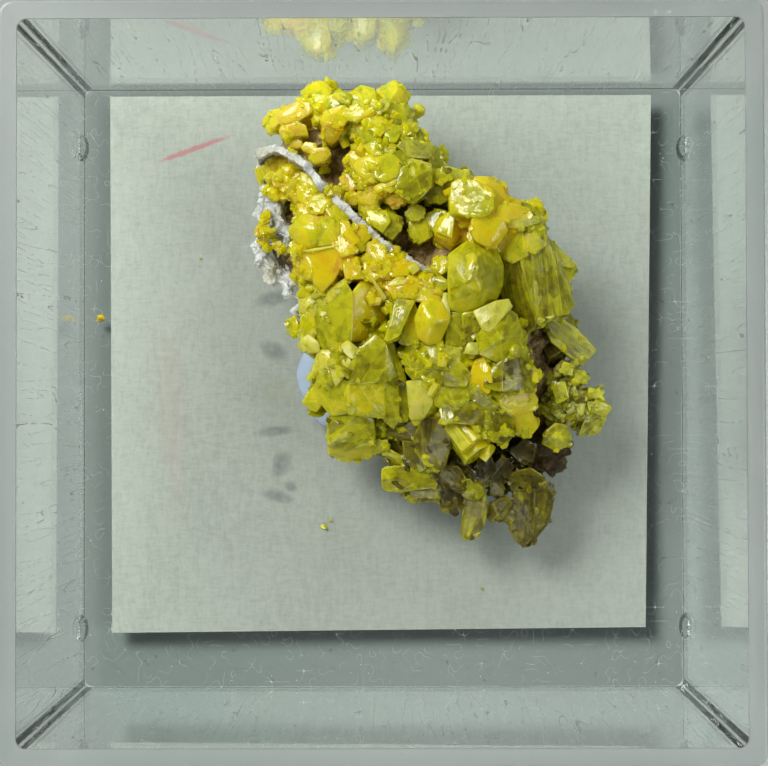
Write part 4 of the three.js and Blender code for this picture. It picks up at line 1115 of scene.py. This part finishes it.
cluster("crown_crystals", "crystal_yellow", [
    (0.59, "", 2.4, [(-4.7, 17.2, 8), (-4.3, 17.45, 8.1), (-3.8, 17.75, 8.1), (-3.4, 17.7, 8.2),
     (-3, 17.3, 8.5), (-3.2, 16.8, 8.9), (-4.3, 16.7, 8.6)]),
    (0.82, "m", 2.2, [(-1.65, 15.4, 9.3), (-1.4, 15.5, 9.4), (-1.1, 14.6, 9.2), (-0.8, 14.1, 9),
     (-1.3, 14, 8.8), (-1.6, 14.6, 9)]),
    (0.84, "m", 2.2, [(-6, 15.7, 8), (-5.9, 16.1, 8), (-5, 16.5, 8.4), (-4.3, 16.5, 8.7),
     (-4.05, 16.15, 8.7), (-4.3, 15.9, 8.7), (-5, 15.5, 8.3), (-5.8, 15.3, 8)]),
    (0.86, "m", 2.0, [(-5.75, 15.15, 8.1), (-5, 15.3, 8.4), (-4.55, 15.2, 8.5), (-4.4, 14.65, 8.4),
     (-5.85, 14.6, 7.9), (-5.9, 14.95, 8.1)]),
    (0.88, "mw", 1.6, [(-5.4, 14.2, 7.6), (-5, 14.35, 7.8), (-4.7, 14.2, 7.9), (-4.9, 13.9, 7.8),
     (-5.3, 13.95, 7.6)]),
    (0.84, "mw", 1.6, [(-4.65, 13.95, 8), (-4.4, 14.15, 8.1), (-3.95, 14.1, 8.2), (-3.85, 13.8, 8.2),
     (-4.2, 13.65, 8.1), (-4.5, 13.75, 8)]),
    (0.86, "m", 1.8, [(-4.2, 13.3, 8.2), (-3.95, 13.75, 8.4), (-3.4, 13.85, 8.5), (-3.05, 13.55, 8.5),
     (-3.4, 13.2, 8.4), (-3.9, 13, 8.2)]),
    (0.76, "m", 1.4, [(-6.45, 16, 7.2), (-6, 16.15, 7.5), (-5.9, 15.5, 7.6), (-6.6, 14.8, 7),
     (-6.5, 15.4, 7.1)]),
    (0.59, "F", 1.8, [(-4.2, 16.6, 8.6), (-4, 17, 8.6), (-3.3, 16.9, 8.9), (-3.2, 16.4, 9.1),
     (-3.8, 16.3, 8.9)]),
    (0.53, "s", 2.2, [(-3.2, 16.3, 9.3), (-3, 16.9, 9.3), (-2.4, 17.1, 9.4), (-1.9, 16.8, 9.6),
     (-2, 16.3, 9.8), (-2.6, 16.1, 9.6)]),
    (0.53, "!", 1.0, [(-2.6, 16.6, 9.75), (-2.45, 16.75, 9.75), (-2, 16.6, 9.95), (-2, 16.42, 10),
     (-2.4, 16.5, 9.85)]),
    (0.53, "!", 1.0, [(-3.4, 16, 9.35), (-3.25, 16.15, 9.35), (-3.1, 16, 9.45), (-3.2, 15.85, 9.45)]),
    (0.71, "", 2.4, [(-3.5, 15.3, 9.3), (-3.3, 16, 9.4), (-2.4, 16.3, 9.8), (-1.9, 16.1, 9.9),
     (-2, 15.6, 9.8), (-2.6, 15.1, 9.5)]),
    (0.82, "", 2.0, [(-3.5, 14.6, 8.9), (-3, 14.2, 8.7), (-2.7, 14.4, 8.8), (-2.3, 15.1, 9.3),
     (-2.9, 15.5, 9.6), (-3.4, 15.2, 9.4)]),
    (0.59, "", 2.4, [(-1.7, 16.4, 9.6), (-1.5, 17.2, 9.3), (-1.2, 17.5, 9.2), (-0.5, 17.3, 9.4),
     (-0.4, 16.6, 9.9), (-0.9, 16.2, 10)]),
    (0.59, "!", 1.0, [(-1.15, 16.55, 10.05), (-0.95, 16.75, 10), (-0.65, 16.75, 10.1),
     (-0.75, 16.5, 10.2), (-1, 16.42, 10.15)]),
    (0.69, "", 2.2, [(-2, 15.7, 9.9), (-1.8, 16.3, 9.9), (-1.1, 16.2, 10.1), (-1.1, 15.7, 10.1),
     (-1.6, 15.5, 9.9)]),
    (0.57, "", 2.8, [(0, 17.1, 8.9), (0.4, 17.6, 8.6), (0.75, 17.8, 8.5), (1, 17.45, 9.2), (1.4, 17, 8.6),
     (1.45, 16.6, 8.7), (0.9, 16.3, 9.2), (0.4, 16.55, 9.6)]),
    (0.53, "f", 2.0, [(-0.5, 16.3, 10), (0, 16.65, 9.9), (0.4, 16.65, 9.9), (0.3, 16.2, 10.1),
     (-0.2, 15.9, 10.2)]),
    (0.45, "", 2.4, [(0.3, 15.5, 9.9), (0.5, 16.3, 9.7), (1.3, 16.4, 9.2), (1.95, 15.97, 8.7),
     (1.75, 15.6, 8.8), (1.2, 15.4, 9.5)]),
    (0.67, "", 2.0, [(-0.55, 15, 10.3), (0, 15.3, 10.2), (0.2, 15, 10.3), (-0.1, 14.6, 10.4)]),
    (0.63, "", 2.2, [(-1.1, 15.3, 10), (-0.6, 15.8, 10.1), (0.2, 15.6, 10.1), (0.1, 15.2, 10.2),
     (-0.6, 14.9, 10.2)]),
    (0.49, "", 2.4, [(0.2, 14.9, 10.2), (0.8, 15.4, 10), (1.1, 14.9, 10.1), (0.8, 14.3, 10.3),
     (0.3, 14.3, 10.3)]),
    (0.53, "", 2.2, [(0.9, 14.8, 10), (1.3, 15.3, 9.8), (1.85, 15, 9.5), (1.9, 14.4, 9.6),
     (1.3, 14.2, 10)]),
    (0.49, "f", 1.6, [(1.3, 15.3, 9.5), (1.6, 15.5, 9.3), (2.15, 15, 9.1), (2, 14.8, 9.3),
     (1.6, 15, 9.6)]),
    (0.47, "", 2.2, [(1.9, 14.9, 9.4), (2.2, 15, 9.2), (2.65, 14.35, 9), (2.3, 14, 9.4),
     (1.8, 14.4, 9.6)]),
    (0.51, "f", 2.4, [(0.9, 14, 10.3), (1.5, 14.3, 10.1), (2.3, 14.1, 9.7), (3, 13.9, 9.3),
     (2.7, 13.3, 9.8), (1.7, 13.4, 10.2)]),
    (0.55, "!", 1.0, [(-0.25, 14.1, 10.45), (-0.05, 14.15, 10.5), (0.05, 13.85, 10.6),
     (-0.1, 13.8, 10.6)]),
    (0.55, "f", 2.0, [(-1.9, 15.5, 9.2), (-1.6, 15.5, 9.3), (-1.4, 14.5, 9), (-1.8, 14.4, 8.8)]),
    (0.57, "f", 2.0, [(-1.4, 15, 9.5), (-1.2, 15.2, 9.6), (-1.1, 14.3, 9.3), (-1.3, 14.1, 9.1)]),
    (0.55, "", 2.4, [(-1.1, 15.2, 10), (-0.6, 15, 10.2), (-0.3, 14.3, 10.2), (-1, 14.1, 9.9),
     (-1.2, 14.6, 9.9)]),
], lumps=[
    (-4.3, 17.0, 7.6, 0.8, 0.5, 1.0), (-2.8, 16.3, 8.2, 1.5, 0.8, 1.3), (-0.2, 15.6, 9.0, 1.5, 1.5, 1.2),
    (1.0, 14.8, 8.9, 1.3, 1.3, 1.1), (2.2, 13.8, 8.6, 0.9, 0.8, 1.0), (-4.6, 15.8, 7.0, 1.3, 0.7, 1.0)],
    tint=0.7, count=360, size=0.24)


# ---- Left bank and hollows ----
# Rough amber crystals fill the space left of the quartz wall, and a few grow on the rind. Smaller ones
# line the band below the wall and the hollows above it.
cluster("left_bank_crystals", "crystal_yellow", [
    (0.66, "w", 2.6, [(-5.15, 9.4, 9.8), (-4.6, 9.95, 9.9), (-3.8, 9.85, 10.2), (-3.5, 9, 10.5),
     (-3.9, 8.2, 10.3), (-4.6, 8.1, 9.9), (-5.05, 8.6, 9.7), (-4.4, 9.1, 10.4)]),
    (0.64, "w", 2.6, [(-3.7, 9.7, 10.2), (-2.7, 9.9, 10.3), (-2.45, 9, 10.5), (-2.7, 8.3, 10.5),
     (-3.7, 8.2, 10.4), (-3.2, 9.2, 10.7)]),
    (0.62, "", 2.4, [(-4.25, 10.5, 10), (-4.1, 11, 9.9), (-3.5, 11.15, 10), (-3.25, 10.7, 10.2),
     (-3.5, 10.15, 10.3), (-4.1, 10.1, 10.1)]),
    (0.76, "", 2.6, [(-2.75, 9.6, 10.3), (-1.95, 9.5, 10.4), (-1.55, 7.85, 10.8), (-2.3, 7.6, 10.8),
     (-2.85, 8.2, 10.6)]),
    (0.78, "", 2.4, [(-1.9, 9.3, 10.2), (-1, 9.3, 10.1), (-0.65, 8.7, 10.1), (-1.4, 8, 10.5),
     (-1.7, 8.1, 10.5)]),
    (0.78, "", 2.4, [(-2.35, 7.4, 10.5), (-1.7, 7.65, 10.5), (-1.05, 6.3, 10.8), (-2.1, 6.3, 10.8)]),
    (0.74, "", 2.6, [(-5.1, 7.65, 9.5), (-4, 7.95, 10.1), (-3.9, 6.2, 10), (-4.6, 6.3, 9.4)]),
    (0.84, "w", 2.8, [(-4.05, 7.9, 10.1), (-2.65, 8.05, 10.6), (-2.35, 7.1, 10.6), (-2.9, 6.2, 10.4),
     (-3.5, 5.5, 10), (-3.95, 6.1, 10)]),
    (0.66, "F", 1.0, [(-5.3, 7.75, 9.6), (-4, 7.98, 10.3), (-2.7, 8.2, 10.7), (-2.7, 8.1, 10.75),
     (-4, 7.85, 10.3)]),
    (0.76, "", 2.4, [(-4.9, 11.6, 9.5), (-4.2, 11.7, 9.7), (-3.9, 11.1, 9.9), (-4.4, 10.6, 9.8),
     (-4.9, 10.9, 9.6)]),
    (0.80, "", 2.4, [(-4.9, 10.6, 9.6), (-4.3, 10.6, 9.8), (-4.2, 10.1, 9.9), (-4.8, 9.9, 9.7)]),
    (0.64, "", 2.4, [(-3.3, 10.3, 10.2), (-2.7, 10.5, 10.1), (-2, 9.8, 10.1), (-2.2, 9.5, 10.3),
     (-2.8, 9.7, 10.4)]),
    (0.70, "", 2.2, [(-3.6, 11.4, 9.7), (-3.1, 11.2, 9.8), (-2.6, 10.5, 9.9), (-3.2, 10.4, 10.1),
     (-3.6, 10.9, 9.9)]),
    (0.70, "f", 2.0, [(-4.7, 12.4, 9.5), (-4.2, 12.2, 9.6), (-3.7, 11.4, 9.8), (-4.1, 11.2, 9.8),
     (-4.6, 11.8, 9.6)]),
], lumps=[
    (-5.5, 12.0, 8.2, 1.5, 1.3, 1.2), (-4.3, 10.9, 8.7, 1.0, 1.2, 1.1), (-3.2, 8.8, 9.2, 1.7, 2.2, 1.1),
    (-6.6, 12.8, 7.5, 0.7, 0.7, 0.9), (-5.9, 13.1, 7.9, 0.9, 0.6, 0.9), (-2.0, 8.4, 9.4, 1.2, 1.2, 1.0),
    (-3.4, 6.7, 9.0, 1.4, 1.0, 1.0)], tint=0.76, count=520, size=0.24)

cluster("rind_crystals", "crystal_yellow", lumps=[
    (-7.0, 9.8, 7.8, 0.6, 0.55, 0.6), (-6.8, 9.1, 7.9, 0.75, 0.5, 0.5), (-6.0, 8.25, 7.4, 0.45, 0.4, 0.5),
    (-6.8, 8.2, 7.4, 0.5, 0.4, 0.5)], tint=0.74, count=130, size=0.15)

cluster("middle_band_crystals", "crystal_yellow", [
    (0.76, "", 2.4, [(-1, 8.2, 10.2), (-0.4, 8.4, 10.2), (0.2, 7.9, 10.4), (0, 7.2, 10.6),
     (-0.8, 7.2, 10.5)]),
    (0.74, "", 2.4, [(-1, 7.1, 10.6), (-0.2, 7.3, 10.6), (0, 6.5, 10.8), (-0.6, 6.1, 10.8),
     (-1, 6.4, 10.7)]),
    (0.76, "", 2.4, [(0.3, 6.9, 10.7), (1.1, 7.2, 10.6), (1.9, 7.1, 10.5), (1.4, 6.5, 10.8),
     (0.6, 6.4, 10.9)]),
    (0.70, "F", 1.6, [(1.6, 6.9, 10.7), (1.95, 7.1, 10.6), (2.1, 6.8, 10.7), (1.8, 6.55, 10.8)]),
    (0.68, "F", 1.6, [(0.4, 5.9, 10.95), (0.9, 6.25, 10.9), (1.4, 6.2, 10.9), (1.3, 5.95, 11),
     (0.7, 5.85, 11)]),
    (0.78, "", 2.4, [(0.1, 5.8, 10.9), (0.8, 5.9, 10.9), (2, 5.9, 10.9), (1.95, 5.1, 11.1),
     (0.8, 5.2, 11)]),
    (0.78, "", 2.4, [(1.6, 6.4, 10.8), (2.4, 6, 10.8), (2.3, 5.6, 10.9), (1.4, 5.9, 10.9)]),
    (0.70, "F", 1.4, [(-0.7, 6.3, 10.9), (-0.5, 6.2, 10.9), (0.2, 5.2, 10.8), (0, 5.1, 10.7)]),
    (0.66, "", 2.0, [(3.2, 7.2, 10.4), (3.5, 7.5, 10.4), (3.85, 7.3, 10.5), (3.85, 6.8, 10.6),
     (3.45, 6.55, 10.6), (3.2, 6.8, 10.5)]),
    (0.54, "", 2.2, [(2.9, 6.2, 10.7), (3.4, 6.3, 10.8), (3.85, 6, 11), (3.6, 5.6, 11),
     (3.1, 5.8, 10.8)]),
    (0.74, "", 2.2, [(2.2, 6.3, 10.7), (2.8, 6.4, 10.7), (3, 5.7, 10.9), (2.5, 5.5, 10.9)]),
], lumps=[(0.2, 6.7, 9.7, 1.6, 1.5, 1.0), (1.6, 6.0, 9.9, 1.4, 1.0, 0.9)],
    tint=0.74, count=300, size=0.22)

cluster("hollow_crystals", "crystal_olive", [
    (0.58, "", 2.4, [(-0.85, 10.2, 9.8), (0.2, 10.15, 9.9), (0.4, 9.6, 10.1), (0, 9, 10),
     (-0.6, 9.5, 9.9)]),
    (0.52, "", 2.4, [(0.3, 10.1, 9.8), (1.1, 9.75, 9.8), (1.05, 9.2, 9.9), (0.6, 8.6, 9.8),
     (0.05, 9, 9.9)]),
    (0.58, "f", 1.6, [(1.5, 10.1, 9.7), (1.8, 10.45, 9.7), (2.25, 10.4, 9.7), (2.45, 10.05, 9.7),
     (2.1, 9.7, 9.7), (1.7, 9.7, 9.7)]),
    (0.56, "", 2.2, [(1.65, 9.5, 9.3), (2.2, 9.9, 9.4), (2.9, 9.5, 9.5), (2.85, 8.75, 9.4),
     (2.15, 8.35, 9.3), (1.65, 8.8, 9.3)]),
    (0.50, "", 2.0, [(2.5, 9.9, 9.4), (3.2, 10.2, 9.6), (3.7, 10.1, 9.8), (3.2, 9, 9.8),
     (2.9, 9.2, 9.7)]),
], lumps=[(0.2, 9.7, 8.7, 1.0, 0.7, 1.0)], tint=0.55, count=50, size=0.24)

cluster("side_crystals", "crystal_olive", [
    (0.56, "f", 2.0, [(9.8, 8.4, 8.6), (10.3, 8, 8.3), (11.35, 7, 7.8), (10.9, 6.9, 8.4), (10, 7.2, 9)]),
    (0.56, "", 1.8, [(10.1, 6.95, 8.6), (11.1, 6.85, 8), (11.35, 6.6, 7.7), (10.85, 6, 8),
     (10.3, 6.1, 8.4)]),
    (0.46, "", 2.0, [(10.6, 6, 8), (10.85, 5.9, 7.8), (11.2, 4.7, 7.3), (10.8, 4.2, 7.4),
     (10.4, 4.6, 7.9)]),
    (0.36, "", 2.0, [(10.5, 4.2, 7.6), (11, 4, 7.4), (11.3, 3.6, 7), (11.2, 3.2, 7), (10.2, 3.4, 7.6)]),
])


# ---- Foot ----
# Free-standing olive prisms hang over the lower edge, among nearly black glassy ones. They grew into
# open space, so they keep their own sides and ends.
cluster("bottom_prisms", "crystal_olive", [
    (0.42, "", 1.1, [(0.05, -4.95, 6.6), (0.3, -4.8, 6.7), (2, -4.7, 7), (3.3, -5.2, 6.9),
     (3.3, -5.9, 6.7), (1, -6.15, 6.4), (0.25, -6.1, 6.2), (0.05, -5.9, 6.2)]),
    (0.36, "", 0.9, [(0.95, -6.1, 6), (2.2, -5.9, 6.4), (3.3, -6.1, 6.4), (3.25, -6.75, 6),
     (1.6, -6.75, 5.7)]),
    (0.42, "", 1.2, [(0, -3.9, 6.8), (0.5, -3.8, 7), (1.5, -4.4, 7.2), (1.3, -4.75, 6.8),
     (0.6, -4.7, 6.5)]),
    (0.54, "", 1.2, [(-0.5, -3.4, 7.2), (0.2, -3.2, 7.4), (0.3, -3.6, 7.2), (-0.3, -3.95, 6.8),
     (-0.6, -3.7, 6.9)]),
    (0.06, "", 1.5, [(3.2, -5.6, 6.9), (3.8, -5.5, 7), (4.6, -5.7, 6.9), (4.7, -6.8, 6.2),
     (4.2, -7.55, 5.6), (3.6, -7.2, 5.7)]),
    (0.20, "", 1.8, [(3.3, -4.7, 7.6), (4.4, -4.8, 7.6), (4.9, -5.6, 7.1), (4.4, -6.2, 6.9),
     (3.5, -5.6, 7.1)]),
    (0.34, "", 1.6, [(1.2, -3.3, 7.6), (2.2, -3.4, 7.9), (2.8, -4.6, 7.5), (2.2, -5, 7.2),
     (1.4, -4.5, 7.1)]),
], lumps=[(2.4, -4.2, 6.6, 1.5, 1.1, 1.0), (1.2, -3.3, 6.5, 1.0, 0.8, 0.9),
          (4.4, -4.4, 6.6, 1.0, 0.9, 1.0)], tint=0.24, count=60, size=0.22)

cluster("foot_prism_left", "crystal_olive", [
    (0.33, "", 1.2, [(4.7, -6.4, 6.4), (5.9, -5.7, 6.9), (6, -7.2, 6.3), (5.85, -8.1, 5.7),
     (5.3, -8.9, 5.1), (4.75, -8.95, 5), (4.6, -8.6, 5.1), (4.8, -7.4, 5.9)]),
], finish=striated)

cluster("foot_prism_middle", "crystal_olive", [
    (0.27, "", 1.0, [(6.4, -6.9, 6.2), (7.2, -6.5, 6.5), (7.5, -7, 6.1), (6.9, -7.9, 5.5),
     (6.3, -7.9, 5.3), (5.95, -7.4, 5.6)]),
], finish=striated)

cluster("foot_prism_right", "crystal_olive", [
    (0.23, "", 1.2, [(7.7, -5.6, 6.6), (8.9, -5.4, 6.7), (8.8, -8.6, 5.5), (8.3, -9.35, 5),
     (7.8, -9.1, 5), (7.45, -8.4, 5.2), (7.6, -7, 6)]),
    (0.19, "", 1.2, [(8.7, -5.4, 6.6), (9.95, -5.9, 6.2), (9.8, -7.2, 5.8), (9.55, -8, 5.5),
     (8.6, -9.3, 4.9), (8.3, -9.35, 4.9), (8.6, -8.2, 5.5)]),
    (0.33, "", 0.9, [(6.8, -7.2, 5.6), (7.6, -6.8, 6), (7.6, -8, 5.5), (7, -7.9, 5.3)]),
], finish=striated)

cluster("dark_crystals", "crystal_dark", [
    (0.10, "", 1.8, [(6.2, -4.9, 7.6), (7, -4.2, 8), (7.6, -4.8, 7.7), (7, -5.6, 7.2), (6.1, -5.6, 7.2)]),
    (0.26, "", 1.8, [(6.3, -5.3, 7), (7, -5.2, 7.1), (7, -6.4, 6.6), (6.3, -6.3, 6.5)]),
    (0.08, "", 2.0, [(7.5, -3.9, 8), (8.3, -3.2, 8.3), (8.9, -3.6, 8.1), (8.7, -4.4, 7.8),
     (8, -4.4, 7.8)]),
    (0.12, "", 2.0, [(5.5, -4.7, 7.8), (6.3, -4.2, 8.1), (6.5, -5, 7.7), (5.8, -5.8, 7.2),
     (5, -5.2, 7.4)]),
    (0.22, "", 2.0, [(7.2, -5.2, 7.3), (8.6, -4.9, 7.4), (9.4, -5.4, 7), (9, -6.1, 6.6),
     (7.6, -6.1, 6.7)]),
    (0.34, "", 1.8, [(4.6, -5.6, 7.2), (5.4, -5.5, 7.3), (5.9, -6.2, 6.9), (5.4, -6.8, 6.5),
     (4.7, -6.4, 6.7)]),
], lumps=[(7.2, -4.4, 6.3, 1.9, 1.1, 1.0)], tint=0.1, count=60, size=0.2)


# ---- Druse ----
# A dusty crust of small crystals covers the rock at the right, with one leaf-shaped crystal in it.
# Dust makes it the dullest part of the specimen.
cluster("leaf_crystal", "crystal_lime", [
    (0.47, "", 1.2, [(9.6, -2.75, 8.2), (10.1, -2.3, 8.2), (10.7, -2.5, 8.1), (10.95, -3.1, 7.8),
     (10.8, -3.5, 7.6), (10.1, -3.75, 7.5), (9.4, -3.4, 7.7), (10.2, -3, 8.3)]),
])

cluster("druse", "druse", [
    (0.50, "m", 2.0, [(9.9, 0, 8), (10.6, 0.1, 8.2), (10.8, -0.7, 8.1), (10.2, -1, 8.1)]),
    (0.55, "m", 1.8, [(10.6, 1.3, 7.6), (11.1, 1.1, 7.6), (11, 0.6, 7.6), (10.5, 0.8, 7.7)]),
    (0.50, "m", 1.8, [(12, -1, 7), (12.8, -1.1, 6.6), (13.3, -1.35, 6.3), (12.9, -1.8, 6.3),
     (12.1, -1.5, 6.9)]),
    (0.40, "m", 1.8, [(11.9, -1.8, 6.8), (12.9, -1.8, 6.2), (12.5, -2.3, 6.1), (12.3, -2.8, 6.2),
     (11.5, -2.9, 6.8)]),
    (0.50, "m", 1.6, [(11.2, 0.9, 7.2), (11.8, 0.7, 7), (11.9, 0.1, 7), (11.3, 0.2, 7.4)]),
    (0.50, "m", 1.6, [(12.1, -0.2, 6.8), (12.9, -0.4, 6.4), (12.6, -0.8, 6.5), (12, -0.7, 6.9)]),
], lumps=[(10.7, -0.9, 6.3, 1.7, 1.6, 1.4), (9.9, 0.3, 6.4, 1.0, 0.8, 1.2)],
    tint=0.44, count=420, size=0.16, frost=0.8)


# ---- Crumbs ----
# A few crumbs have broken off: they lie on the card and, at the left, on the floor of the box. Each
# is a small broken crystal like those on the specimen.
CRUMBS = [(-3.7, -8.7, 1.60, 0.22, 0.60), (-3.3, -8.3, 1.58, 0.10, 0.62), (-17.7, 4.4, 1.30, 0.26, 0.95),
          (6.2, -12.6, 1.58, 0.09, 0.5), (-11.4, 8.1, 1.58, 0.08, 0.6), (12.3, 3.0, 1.58, 0.08, 0.4)]
LEANING = Vector((0.4, 0.2, 1))
crumbs = [grain(Vector((x, y, z)) * MM, LEANING, r, tint, 0.1) for x, y, z, r, tint in CRUMBS]
piece("crumbs", combined(crumbs), resin, "crystal_yellow")
